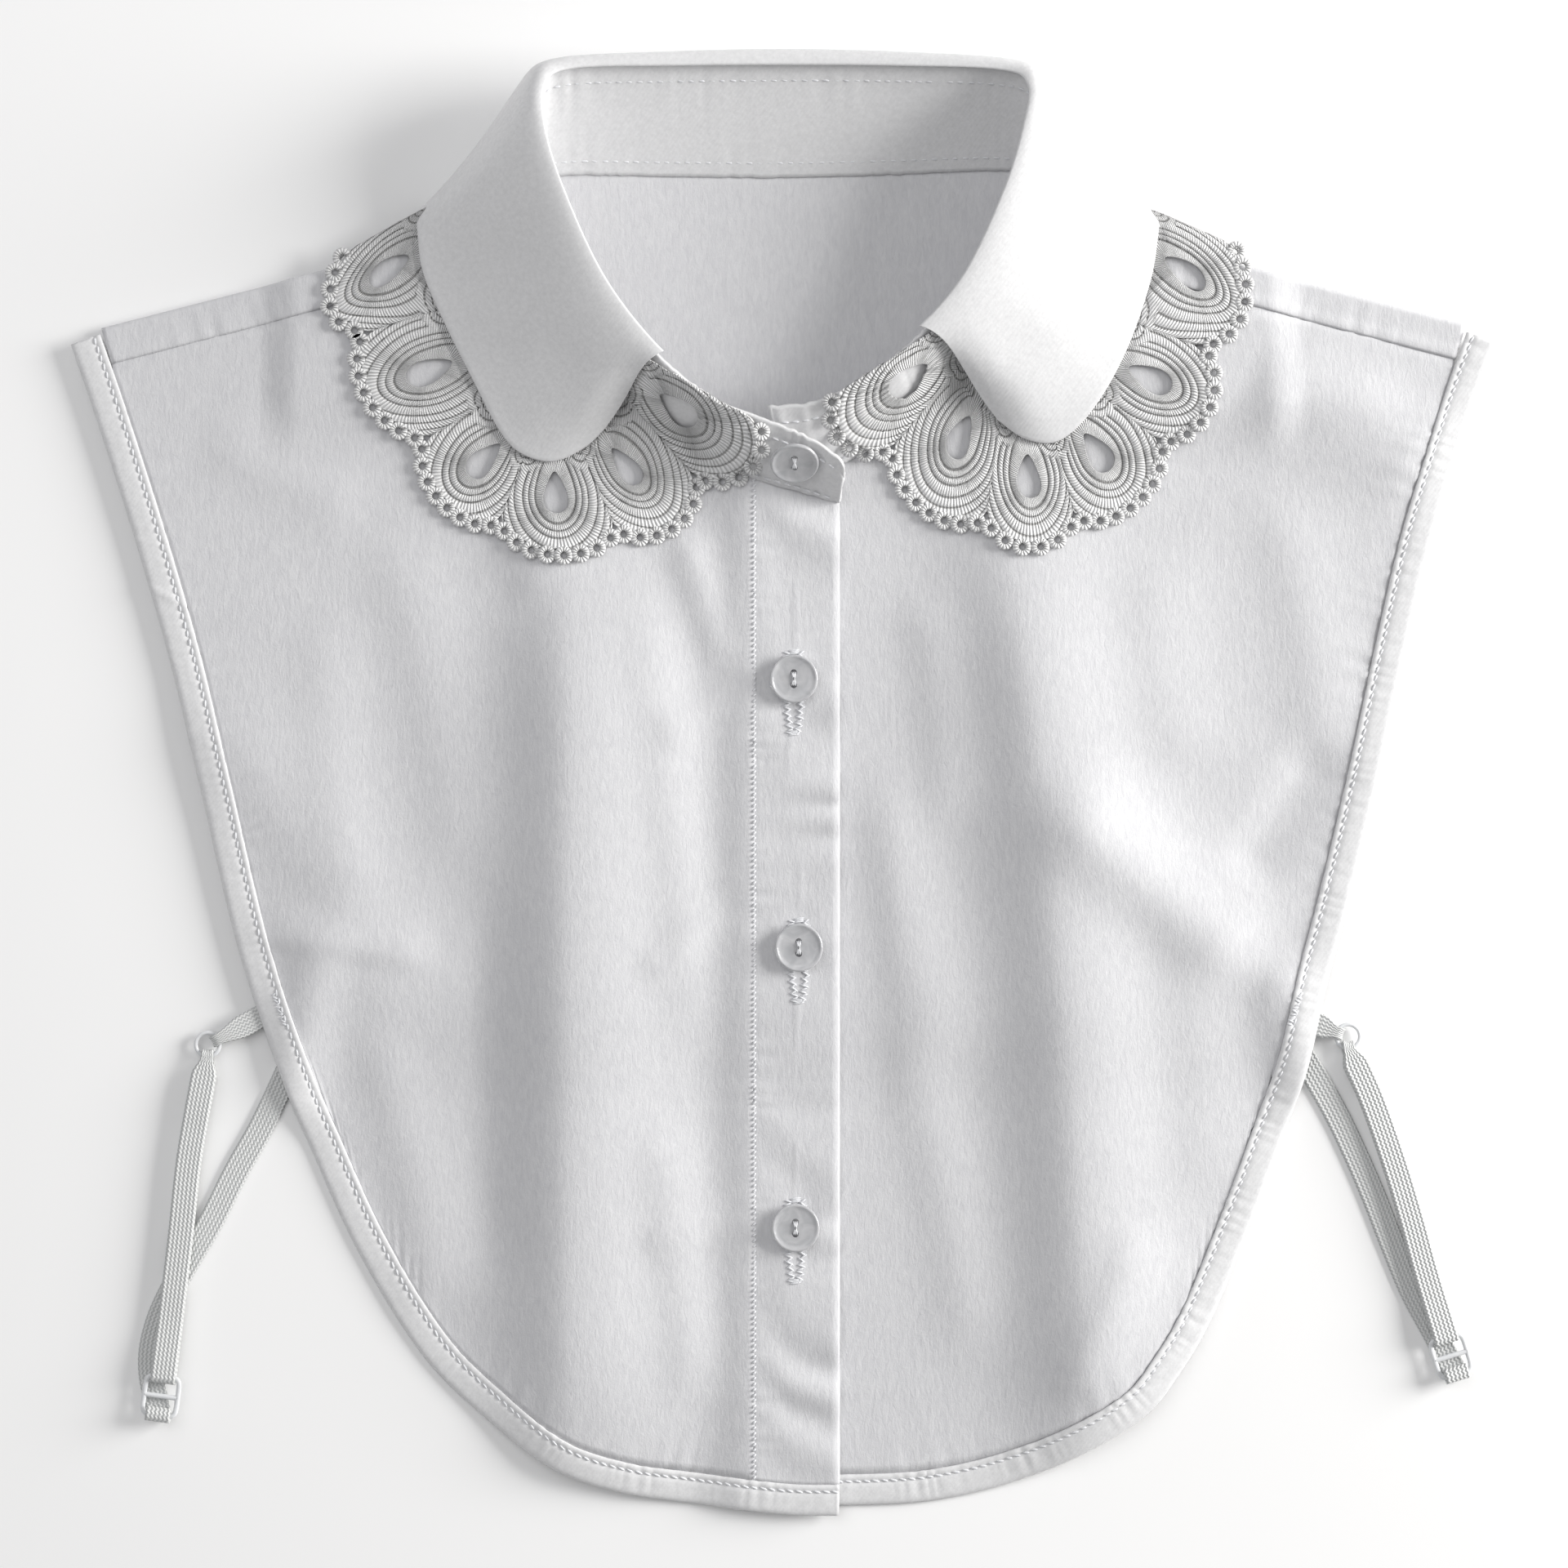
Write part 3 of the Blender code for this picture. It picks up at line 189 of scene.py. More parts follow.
# %% Sizes of the cut
GAP = 0.3                  # between two pieces, at a seam or where one lies on the other
WALL = 1.2                 # cloth wall
PLACKET_WALL = 1.8         # cloth folded twice
BINDING_WALL = 1.6
BINDING_WIDTH = 7.0
LACE_WALL = 1.4            # over the satin stitch bands
LACE_THIN = 0.65           # share of that wall between the bands
BAND_WALL = 0.8            # elastic

TABLE_LEVEL = WALL / 2     # middle of a cloth that lies on the table
LAYER = WALL + GAP         # from one cloth to the next
UNDER_LACE = LACE_WALL + 0.8
NECK_CLEAR = 2.2           # from the stand's foot to the cloth that it is sewn to
BACK_HEM_Y = -38.0
BACK_SET_IN = 1.5          # of the back panel's edge, under the fronts' edge
STAND_BULGE = 1.0
STAND_LIFT = 0.3           # of its foot, over the middle of the cloth that it stands on
HEM_STEP = (-42.0, -9.0)   # from BACK_HEM_Y: where the fronts climb from the table on to the back panel
PLACKET_CLIMB = 16.0       # width over which the left front climbs to the placket
OPENING_CENTRE = np.array([0.0, 118.0])
PLACKET_LEFT_X = -7.1
PLACKET_RIGHT_X = 13.7
RIGHT_EDGE_X = -4.7        # of the right front, under the placket

# The fronts' outer edge, from the shoulder down the side and round the hem: x, y.
OUTLINE_LEFT = [(-173.6, 107.5), (-167.5, 89.9), (-157.9, 59.9), (-149.3, 29.9), (-142.1, 0), (-135.3, -30),
                (-129.7, -50), (-121.3, -74), (-115.7, -87.7), (-103.7, -114), (-87.7, -139.7), (-71.7, -155.3),
                (-55.7, -167), (-39.7, -172.7), (-23.7, -175.3), (0.3, -178), (PLACKET_RIGHT_X, -178.3)]
OUTLINE_RIGHT = [(173.9, 107.9), (167.5, 89.9), (158.3, 59.9), (151.3, 29.9), (144.9, 0), (137.7, -30),
                 (132.3, -50), (127.7, -70), (121.3, -88), (113.9, -108), (104.3, -131), (96.3, -144.3),
                 (88.3, -153.9), (72.3, -163.7), (56.3, -170.3), (40.3, -174.3), (24.3, -175.9), (RIGHT_EDGE_X, -176.2)]
SIDE_POINTS = 8            # of each outline: what comes before is the side, then the hem

# The shoulder: where the cloth folds over, and where the front is sewn on. x, y at the arm and at the neck.
SHOULDER = {
    "left": {"fold": ((-166.2, 110.4), (-68.0, 135.6)), "seam": ((-163.9, 102.9), (-70.0, 126.9))},
    "right": {"fold": ((166.6, 111.4), (69.5, 136.6)), "seam": ((164.4, 103.9), (71.6, 127.9))},
}

# Folds of the fronts. Crest from x0, y0 to x1, y1, bowed sideways; height; width of its left and right flank.
FOLDS = [
    # x0,    y0,    x1,     y1,   bow,  high, left, right
    (-51.5, 56.0, -51.5, -172.0, 0.0, 7.0, 15.0, 25.0),
    (-25.0, 62.0, -12.5, 28.0, 0.0, 1.6, 5.0, 6.0),
    (-140.0, 20.0, -92.0, -60.0, 3.0, 1.6, 12.0, 16.0),
    (55.0, 66.0, 75.0, -170.0, 4.5, 6.5, 15.0, 23.0),
    (66.0, -4.0, 114.0, -44.0, 0.0, 3.2, 10.0, 12.0),
    (160.0, 78.0, 118.0, 100.0, 0.0, 2.2, 12.0, 14.0),
    (20.0, 0.0, 40.0, -70.0, 0.0, 1.6, 10.0, 12.0),
    (-112.0, -36.0, -122.5, -84.0, 0.0, 2.2, 8.0, 8.0),
    (119.0, -42.0, 130.5, -80.0, 0.0, 2.0, 8.0, 8.0),
]

# The collar, from the left stand end round the back to the right one: neck seam and roll line.
STAND = [
    # neck x, y,    roll x, y, z
    (13.9, 68.9, 15.5, 77.5, 17.0),
    (4.3, 71.5, 5.5, 84.0, 17.0),
    (-7.5, 74.9, -5.9, 88.6, 17.5),
    (-17.7, 80.5, -17.1, 93.2, 18.0),
    (-39.7, 96.0, -30.7, 104.0, 20.0),
    (-57.7, 117.9, -43.7, 121.0, 22.0),
    (-64.5, 132.0, -53.2, 141.8, 24.0),
    (-64.0, 142.5, -58.0, 157.5, 24.0),
    (-60.7, 147.3, -58.2, 168.5, 21.0),
    (-51.7, 148.9, -51.5, 173.3, 17.5),
    (-25.7, 148.5, -25.7, 174.6, 15.5),
    (0.3, 148.3, 0.3, 175.0, 15.0),
    (26.3, 149.0, 26.3, 174.6, 15.5),
    (52.3, 150.0, 53.0, 173.0, 17.5),
    (62.3, 148.6, 60.0, 168.5, 21.0),
    (66.0, 142.5, 58.6, 157.5, 24.0),
    (66.8, 132.0, 54.0, 142.3, 24.0),
    (60.7, 117.9, 44.9, 122.5, 22.0),
    (42.3, 97.9, 33.7, 109.0, 20.0),
    (24.3, 83.9, 20.3, 98.3, 17.5),
    (10.3, 76.9, 7.5, 92.4, 15.5),
    (0.3, 75.0, -3.5, 91.3, 14.5),
]
NAPE = 11                  # the row in the middle of the back

# The leaf, between its two front edges: a place on the roll line as a row of STAND, and its edge.
# Level is 1 on the fronts, 0 on the table under the back panel, and between them at the shoulder fold.
LEAF = [
    # row,  edge x, y,  level
    (3.95, -43.5, 87.0, 1),
    (4.10, -49.0, 82.0, 1),
    (4.25, -56.5, 78.9, 1),
    (4.45, -64.0, 81.0, 1),
    (4.70, -69.0, 86.5, 1),
    (5.00, -75.0, 98.0, 1),
    (5.45, -82.0, 112.0, 1),
    (6.00, -87.2, 124.0, 1),
    (6.70, -88.6, 133.0, 0.98),
    (7.50, -88.6, 139.8, 0.5),
    (8.40, -83.0, 139.0, 0.02),
    (9.00, -71.0, 137.5, 0),
    (9.60, -45.0, 135.0, 0),
    (11.0, 0.3, 133.5, 0),
    (12.4, 46.0, 135.5, 0),
    (13.0, 72.0, 138.0, 0),
    (13.6, 84.5, 140.0, 0.02),
    (14.5, 91.2, 139.6, 0.5),
    (15.3, 91.0, 133.0, 0.98),
    (16.0, 89.4, 123.0, 1),
    (16.55, 84.8, 109.0, 1),
    (17.0, 79.0, 97.0, 1),
    (17.30, 72.5, 88.0, 1),
    (17.55, 66.0, 83.5, 1),
    (17.75, 59.0, 84.5, 1),
    (17.95, 52.5, 89.0, 1),
]

# Where one lace scallop ends and the next begins: on the leaf's edge, at the valley between them, and the level.
LACE = {
    "lace_left": [
        # edge x, y,    valley x, y,  level
        (-29.5, 98.3, -5.0, 86.5, 1),
        (-36.0, 93.0, -20.3, 73.7, 1),
        (-49.0, 82.0, -40.3, 60.7, 1),
        (-63.0, 80.3, -69.7, 62.5, 1),
        (-72.5, 92.5, -88.9, 83.3, 1),
        (-83.7, 115.5, -103.5, 109.5, 1),
        (-88.6, 139.8, -107.3, 129.6, 0.5),
    ],
    "lace_right": [
        (91.2, 139.6, 110.5, 131.5, 0.5),
        (86.3, 112.5, 103.7, 105.9, 1),
        (77.5, 95.0, 93.3, 82.5, 1),
        (66.5, 83.7, 71.5, 63.7, 1),
        (53.0, 88.3, 49.1, 63.3, 1),
        (40.5, 99.5, 25.5, 80.7, 1),
        (34.5, 105.5, 11.5, 93.5, 1),
    ],
    "lace_back": [
        (-88.6, 139.8, -107.3, 129.6, 0.5),
        (-78.0, 138.2, -93.0, 117.0, 0),
        (-60.0, 136.4, -66.0, 114.0, 0),
        (-38.0, 134.6, -40.0, 112.0, 0),
        (-13.0, 133.7, -14.0, 111.0, 0),
        (13.0, 133.7, 14.0, 111.0, 0),
        (38.0, 134.8, 40.0, 112.0, 0),
        (61.0, 136.8, 67.0, 114.0, 0),
        (82.0, 139.6, 94.0, 119.5, 0),
        (91.2, 139.6, 110.5, 131.5, 0.5),
    ],
}
LACE_EDGE_GAP = 0.9        # between the leaf's edge and the lace, seen from above
LACE_CLEAR = 0.5           # from the front to the lace that lies on it
SCALLOP_BULGE = 8.0
TEARDROP_HALF = (2.8, 4.4)  # half its width along the edge, half its length across it
TEARDROP_PLACE = 0.42      # from the leaf's edge to the valley line

BUTTONS = {"button_1": (2.7, 25.7), "button_2": (3.9, -39.7), "button_3": (3.1, -108.1)}
BUTTON_RADIUS = 5.9
BUTTON_THICKNESS = 2.4
COLLAR_BUTTON = {"row": 1.2, "share": 0.62}  # a row of STAND, and the share of the way up from the neck seam

# Straps: the tab from the binding to the ring; places that the elastic loop passes between ring and slider;
# the back strap's route from the back panel to the slider; the slider's centre and its turn in degrees.
STRAPS = {
    "left": {
        "tab": ((-128.2, -57.0), (-138.0, -62.2)),
        "ring": (-140.6, -63.6),
        "loop": [(-143.3, -81.0), (-145.3, -93.1), (-147.1, -109.9), (-149.1, -126.7)],
        "back": [(-111.5, -48.5), (-117.5, -62.0), (-126.9, -82.3), (-133.7, -94.5),
                 (-140.0, -107.0), (-147.0, -119.0), (-152.8, -131.0), (-154.8, -142.0)],
        "slider": ((-151.9, -149.4), -8.0),
    },
    "right": {
        "tab": ((131.0, -58.5), (135.8, -60.2)),
        "ring": (138.2, -61.6),
        "loop": [(143.9, -77.1), (149.3, -92.3), (153.5, -106.1), (156.9, -118.5)],
        "back": [(118.0, -48.5), (123.6, -60.0), (134.3, -78.5), (139.7, -89.5),
                 (144.5, -100.5), (149.0, -112.0), (154.0, -124.0), (159.4, -134.0)],
        "slider": ((163.2, -139.6), 17.0),
    },
}
STRAP_WIDTH = 6.0
RING_RADIUS = 2.9
RING_WIRE = 0.5
RING_BAND = 2.2            # width to which a band is gathered in the ring
SLIDER_SIZE = (9.4, 10.4, 0.8)
SLOT_SIZE = (7.0, 3.85)
BEND_RADIUS = RING_WIRE + GAP + BAND_WALL / 2 + 0.05
RING_LEVEL = BEND_RADIUS + BAND_WALL / 2 + 0.05
SLIDER_LEVEL = RING_LEVEL + BAND_WALL + GAP




# %% [markdown]
# Where the cloth lies
#
# A crease is a ridge on a straight or bowed crest line with a bell across it. The solids hold the
# largest. The same bells, smaller, give the soft troughs that the eye still sees.

# %% Heights
# Creases that only the cloth's own surface has. The same columns as FOLDS.
CREASES = [
    (-140, 84, -104, 66, 0.0, 0.72, 7.0, 9.0),
    (-96, 60, -78, -20, 3.0, 1.01, 9.0, 12.0),
    (-112, 40, -104, -30, -2.0, 0.72, 8.0, 8.0),
    (-66, 48, -40, 66, 0.0, 0.87, 5.0, 6.0),
    (-34, 44, -22, -60, 1.5, 0.87, 6.0, 7.0),
    (-128, -36, -86, -42, 0.0, 1.01, 4.0, 8.0),
    (-100, -60, -84, -128, 2.0, 1.16, 8.0, 9.0),
    (-72, -30, -70, -120, -2.0, -1.01, 6.0, 8.0),
    (-30, -84, -22, -150, 1.0, 1.01, 6.0, 8.0),
    (-14, -30, -34, -46, 0.0, 0.72, 4.0, 5.0),
    (-12, -104, -34, -112, 0.0, 0.65, 4.0, 5.0),
    (-12, 22, -30, 12, 0.0, 0.72, 4.0, 5.0),
    (34, 46, 40, -10, 1.5, 1.01, 6.0, 8.0),
    (30, -60, 46, -140, 2.0, 1.16, 8.0, 9.0),
    (92, 56, 100, 4, -3.0, 1.01, 9.0, 11.0),
    (120, 70, 132, 10, 2.0, 0.87, 8.0, 9.0),
    (96, -30, 104, -100, 3.0, 1.16, 9.0, 12.0),
    (132, 8, 112, -22, 0.0, -1.3, 6.0, 8.0),
    (96, 90, 150, 94, 2.0, 0.72, 6.0, 8.0),
    (88, -110, 70, -150, 0.0, 1.01, 6.0, 8.0),
]


def ridges(rows, x, y):
    """Sum of bells: high * exp(-(across / flank)^2), faded along the crest towards both ends."""
    total = np.zeros_like(x, dtype=float)
    for x0, y0, x1, y1, bow, high, left, right in rows:
        run = np.array([x1 - x0, y1 - y0])
        length = np.linalg.norm(run)
        along = ((x - x0) * run[0] + (y - y0) * run[1]) / length**2
        across = ((x - x0) * -run[1] + (y - y0) * run[0]) / length - bow * 4 * along * (1 - along)
        width = np.where(across < 0, left, right)
        ends = smooth(-0.12, 0.2, along) * smooth(1.1, 0.82, along)
        total += high * np.exp(-(across / width) ** 2) * ends
    return total


def back_height(x, y):
    """Middle of the back panel: on the table, and lifted over the leaf and lace folded under it."""
    return TABLE_LEVEL + UNDER_LACE * smooth(76, 98, y) * smooth(128, 118, np.abs(x))


def front_base(x, y):
    """Middle of a front without its folds: on the back panel, and on the table below the back hem."""
    on_back = smooth(BACK_HEM_Y + HEM_STEP[0], BACK_HEM_Y + HEM_STEP[1], y)
    return back_height(x, y) + (BINDING_WALL + GAP) * on_back


def all_folds(x, y):
    """Folds of the solids and creases of the cloth."""
    return ridges(FOLDS, x, y) + ridges(CREASES, x, y)


def front_right_height(x, y):
    """Middle of the right front, flattened under the placket."""
    return front_base(x, y) + all_folds(x, y) * smooth(PLACKET_RIGHT_X, PLACKET_RIGHT_X + 16, x)


def placket_height(x, y):
    """Middle of the placket, which lies on the right front's bound edge."""
    return front_base(x, y) + (BINDING_WALL - WALL / 2) + GAP + PLACKET_WALL / 2 + 0 * x


def front_left_height(x, y):
    """Middle of the left front, which climbs to the placket."""
    climb = smooth(PLACKET_LEFT_X - 16, PLACKET_LEFT_X, x)
    folds = all_folds(x, y) * smooth(PLACKET_LEFT_X, PLACKET_LEFT_X - 16, x)
    return front_base(x, y) + folds + (placket_height(x, y) - front_base(x, y)) * climb


def left_side_height(x, y):
    """Middle of the left front and of its placket."""
    return np.where(x < PLACKET_LEFT_X, front_left_height(x, y), placket_height(x, y))


def front_height(x, y):
    """Middle of what is on top at a place: left front, placket or right front."""
    return np.where(x < PLACKET_RIGHT_X, left_side_height(x, y), front_right_height(x, y))


def top_at(x, y):
    """Height of the upper face of the cloth at one place."""
    return float(front_height(np.array([x]), np.array([y]))[0]) + WALL / 2


print("highest fold", round(float(ridges(FOLDS, *np.meshgrid(np.linspace(-150, 150, 200),
                                                               np.linspace(-170, 100, 200))).max()), 1), "mm")

# %% [markdown]
# Camera
#
# The collar was photographed from straight above. A long lens far away keeps the view nearly flat,
# as a product photograph is. The frame is 384 mm wide, the collar 348 mm.

# %% Camera
FRAME_WIDTH = 384.0
LENS = 100.0
SENSOR = 36.0


def add_camera():
    """A square view of FRAME_WIDTH, straight down."""
    data = bpy.data.cameras.new("Camera")
    data.lens = LENS
    data.sensor_width = SENSOR
    data.sensor_fit = "HORIZONTAL"
    made = bpy.data.objects.new("Camera", data)
    made.location = (0.0003 + 0.0, 0.0001, FRAME_WIDTH * MM * LENS / SENSOR)
    made.rotation_euler = (0, 0, 0)
    bpy.context.scene.collection.objects.link(made)
    bpy.context.scene.camera = made
    return made


camera = add_camera()
print("camera height", round(camera.location.z, 3), "m")

# %% [markdown]
# Materials
#
# Everything here is white, so the finishes part by how they scatter light. Crepe is woven from
# hard twisted yarns: a dull, pebbled cloth with short upright streaks. The collar and the bindings
# are a smooth crepe satin with a soft sheen. Guipure is satin stitch in glossy thread. Each pattern's
# scale is a real size in millimetres, turned to the repeats that a metre holds.

# %% Material tools
def linear(code):
    """An sRGB hex colour as linear RGBA."""
    c = np.array([int(code[i:i + 2], 16) for i in (1, 3, 5)]) / 255
    c = np.where(c <= 0.04045, c / 12.92, ((c + 0.055) / 1.055) ** 2.4)
    return (*c.tolist(), 1.0)


def new_material(name):
    """An empty node material with its Principled shader."""
    made = bpy.data.materials.new(name)
    made.use_nodes = True
    return made, made.node_tree, made.node_tree.nodes["Principled BSDF"]


def add(tree, kind, links=None, inputs=None, **settings):
    """Adds a node with its settings, input values and links from other nodes' sockets."""
    made = tree.nodes.new(kind)
    for key, value in settings.items():
        setattr(made, key, value)
    for key, value in (inputs or {}).items():
        made.inputs[key].default_value = value
    for key, socket in (links or {}).items():
        tree.links.new(socket, made.inputs[key])
    return made


def per_metre(size_mm):
    """Repeats in a metre of a pattern whose repeat is size_mm."""
    return 1000.0 / size_mm


def waves(size):
    """Scale of a wave texture whose bands repeat at a size: the node draws sin(20 * scale * x)."""
    return math.tau / 20 / size


# %% Cloth materials
def crepe_cloth():
    """Polyester crepe: upright streaks 0.5 mm apart and 2 mm long in bump, a slightly cool white."""
    made, tree, shader = new_material("White polyester crepe")
    place = add(tree, "ShaderNodeTexCoord")
    streak = add(tree, "ShaderNodeMapping", {"Vector": place.outputs["Object"]},
                 {"Scale": (per_metre(0.9), per_metre(3.2), per_metre(2.0))})
    noise = add(tree, "ShaderNodeTexNoise", {"Vector": streak.outputs["Vector"]},
                {"Scale": 1.0, "Detail": 4.0, "Roughness": 0.65, "Distortion": 0.6})
    weave = add(tree, "ShaderNodeTexNoise", {"Vector": place.outputs["Object"]},
                {"Scale": per_metre(0.6), "Detail": 2.0, "Roughness": 0.7})
    soft = add(tree, "ShaderNodeTexNoise", {"Vector": place.outputs["Object"]},
               {"Scale": per_metre(14.0), "Detail": 3.0, "Roughness": 0.55})
    tint = add(tree, "ShaderNodeValToRGB", {"Fac": noise.outputs["Fac"]})
    tint.color_ramp.elements[0].position = 0.3
    tint.color_ramp.elements[0].color = linear("#CECED1")
    tint.color_ramp.elements[1].position = 0.66
    tint.color_ramp.elements[1].color = linear("#DADADC")
    first = add(tree, "ShaderNodeBump", {"Height": soft.outputs["Fac"]}, {"Strength": 0.09, "Distance": 0.0012})
    second = add(tree, "ShaderNodeBump", {"Height": noise.outputs["Fac"], "Normal": first.outputs["Normal"]},
                 {"Strength": 0.4, "Distance": 0.0003})
    third = add(tree, "ShaderNodeBump", {"Height": weave.outputs["Fac"], "Normal": second.outputs["Normal"]},
                {"Strength": 0.25, "Distance": 0.0002})
    tree.links.new(tint.outputs["Color"], shader.inputs["Base Color"])
    tree.links.new(third.outputs["Normal"], shader.inputs["Normal"])
    shader.inputs["Roughness"].default_value = 0.72
    shader.inputs["Sheen Weight"].default_value = 0.12
    shader.inputs["Sheen Roughness"].default_value = 0.45
    return made


def satin_cloth():
    """Crepe satin: a fine diagonal float 0.5 mm apart, soft sheen, faint slubs."""
    made, tree, shader = new_material("White crepe satin")
    place = add(tree, "ShaderNodeTexCoord")
    slant = add(tree, "ShaderNodeMapping", {"Vector": place.outputs["Object"]},
                {"Rotation": (0.0, 0.0, math.radians(38))})
    floats = add(tree, "ShaderNodeTexWave", {"Vector": slant.outputs["Vector"]},
                 {"Scale": waves(0.0009), "Distortion": 1.5, "Detail": 2.0, "Detail Scale": 1.5})
    slub = add(tree, "ShaderNodeTexNoise", {"Vector": place.outputs["Object"]},
               {"Scale": per_metre(1.1), "Detail": 3.0, "Roughness": 0.6})
    broad = add(tree, "ShaderNodeTexNoise", {"Vector": place.outputs["Object"]},
                {"Scale": per_metre(11.0), "Detail": 2.0})
    tint = add(tree, "ShaderNodeValToRGB", {"Fac": slub.outputs["Fac"]})
    tint.color_ramp.elements[0].position = 0.25
    tint.color_ramp.elements[0].color = linear("#D9D9DA")
    tint.color_ramp.elements[1].position = 0.7
    tint.color_ramp.elements[1].color = linear("#E5E5E6")
    first = add(tree, "ShaderNodeBump", {"Height": broad.outputs["Fac"]}, {"Strength": 0.12, "Distance": 0.001})
    second = add(tree, "ShaderNodeBump", {"Height": slub.outputs["Fac"], "Normal": first.outputs["Normal"]},
                 {"Strength": 0.2, "Distance": 0.0002})
    third = add(tree, "ShaderNodeBump", {"Height": floats.outputs["Fac"], "Normal": second.outputs["Normal"]},
                {"Strength": 0.12, "Distance": 0.0001})
    tree.links.new(tint.outputs["Color"], shader.inputs["Base Color"])
    tree.links.new(third.outputs["Normal"], shader.inputs["Normal"])
    shader.inputs["Roughness"].default_value = 0.5
    shader.inputs["Sheen Weight"].default_value = 0.15
    shader.inputs["Sheen Roughness"].default_value = 0.35
    return made


def guipure_thread():
    """Rayon satin stitch: threads 0.65 mm apart, coarser than real, across each band, and a groove after it. Painted
    shade darkens the colour between the threads and in each groove.

    The map's first number is mm along the bands, its second one counts the bands.
    """
    made, tree, shader = new_material("White rayon guipure")
    lay = add(tree, "ShaderNodeUVMap", uv_map="thread")
    threads = add(tree, "ShaderNodeTexWave", {"Vector": lay.outputs["UV"]},
                  {"Scale": waves(0.65), "Distortion": 1.6, "Detail": 2.0, "Detail Scale": 1.6},
                  bands_direction="X")
    grooves = add(tree, "ShaderNodeTexWave", {"Vector": lay.outputs["UV"]}, {"Scale": waves(1.0)},
                  bands_direction="Y")
    # Painted shade: the colour darkens between the threads of a band.
    tint = add(tree, "ShaderNodeValToRGB", {"Fac": threads.outputs["Fac"]})
    tint.color_ramp.elements[0].color = linear("#C6C6C6")
    tint.color_ramp.elements[1].position = 0.45
    tint.color_ramp.elements[1].color = linear("#F8F8F8")
    # Painted shade: the colour darkens in the groove after each band.
    shaded_groove = add(tree, "ShaderNodeValToRGB", {"Fac": grooves.outputs["Fac"]})
    shaded_groove.color_ramp.elements[0].color = linear("#B4B3B2")
    shaded_groove.color_ramp.elements[1].position = 0.14
    shaded_groove.color_ramp.elements[1].color = linear("#FFFFFF")
    both = add(tree, "ShaderNodeVectorMath", {0: tint.outputs["Color"], 1: shaded_groove.outputs["Color"]},
               operation="MULTIPLY")
    first = add(tree, "ShaderNodeBump", {"Height": threads.outputs["Fac"]}, {"Strength": 1.0, "Distance": 0.0003})
    second = add(tree, "ShaderNodeBump", {"Height": shaded_groove.outputs["Color"], "Normal": first.outputs["Normal"]},
                 {"Strength": 0.9, "Distance": 0.0004})
    tree.links.new(both.outputs["Vector"], shader.inputs["Base Color"])
    tree.links.new(second.outputs["Normal"], shader.inputs["Normal"])
    shader.inputs["Roughness"].default_value = 0.45
    shader.inputs["Sheen Weight"].default_value = 0.2
    return made


def sewing_thread():
    """Polyester sewing thread, a little glossier than the cloth, its twist as a fine noise."""
    made, tree, shader = new_material("White polyester thread")
    place = add(tree, "ShaderNodeTexCoord")
    twist = add(tree, "ShaderNodeTexNoise", {"Vector": place.outputs["Object"]},
                {"Scale": per_metre(0.5), "Detail": 2.0})
    tint = add(tree, "ShaderNodeValToRGB", {"Fac": twist.outputs["Fac"]})
    tint.color_ramp.elements[0].color = linear("#D4D6DA")
    tint.color_ramp.elements[1].color = linear("#F0F0F2")
    bump = add(tree, "ShaderNodeBump", {"Height": twist.outputs["Fac"]}, {"Strength": 0.3, "Distance": 0.0001})
    tree.links.new(tint.outputs["Color"], shader.inputs["Base Color"])
    tree.links.new(bump.outputs["Normal"], shader.inputs["Normal"])
    shader.inputs["Roughness"].default_value = 0.4
    return made


def ribbed_elastic():
    """Braided elastic: ribs along the strap that zigzag, 1 mm apart, coarser than real, from the strap's own map."""
    made, tree, shader = new_material("White braided elastic")
    lay = add(tree, "ShaderNodeUVMap", uv_map="thread")
    parts = add(tree, "ShaderNodeSeparateXYZ", {"Vector": lay.outputs["UV"]})
    zigzag = add(tree, "ShaderNodeMath", {0: parts.outputs["Y"]}, {1: 0.55}, operation="PINGPONG")
    shift = add(tree, "ShaderNodeMath", {0: zigzag.outputs["Value"]}, {1: 0.7}, operation="MULTIPLY")
    aside = add(tree, "ShaderNodeMath", {0: parts.outputs["X"], 1: shift.outputs["Value"]}, operation="ADD")
    laid = add(tree, "ShaderNodeCombineXYZ", {"X": aside.outputs["Value"], "Y": parts.outputs["Y"]})
    ribs = add(tree, "ShaderNodeTexWave", {"Vector": laid.outputs["Vector"]}, {"Scale": waves(1.0)},
               bands_direction="X")
    # Painted shade: the colour darkens in the hollows between the ribs.
    tint = add(tree, "ShaderNodeValToRGB", {"Fac": ribs.outputs["Fac"]})
    tint.color_ramp.elements[0].color = linear("#C4C6C6")
    tint.color_ramp.elements[1].position = 0.6
    tint.color_ramp.elements[1].color = linear("#E6E7E6")
    bump = add(tree, "ShaderNodeBump", {"Height": ribs.outputs["Fac"]}, {"Strength": 0.6, "Distance": 0.0004})
    tree.links.new(tint.outputs["Color"], shader.inputs["Base Color"])
    tree.links.new(bump.outputs["Normal"], shader.inputs["Normal"])
    shader.inputs["Roughness"].default_value = 0.6
    return made


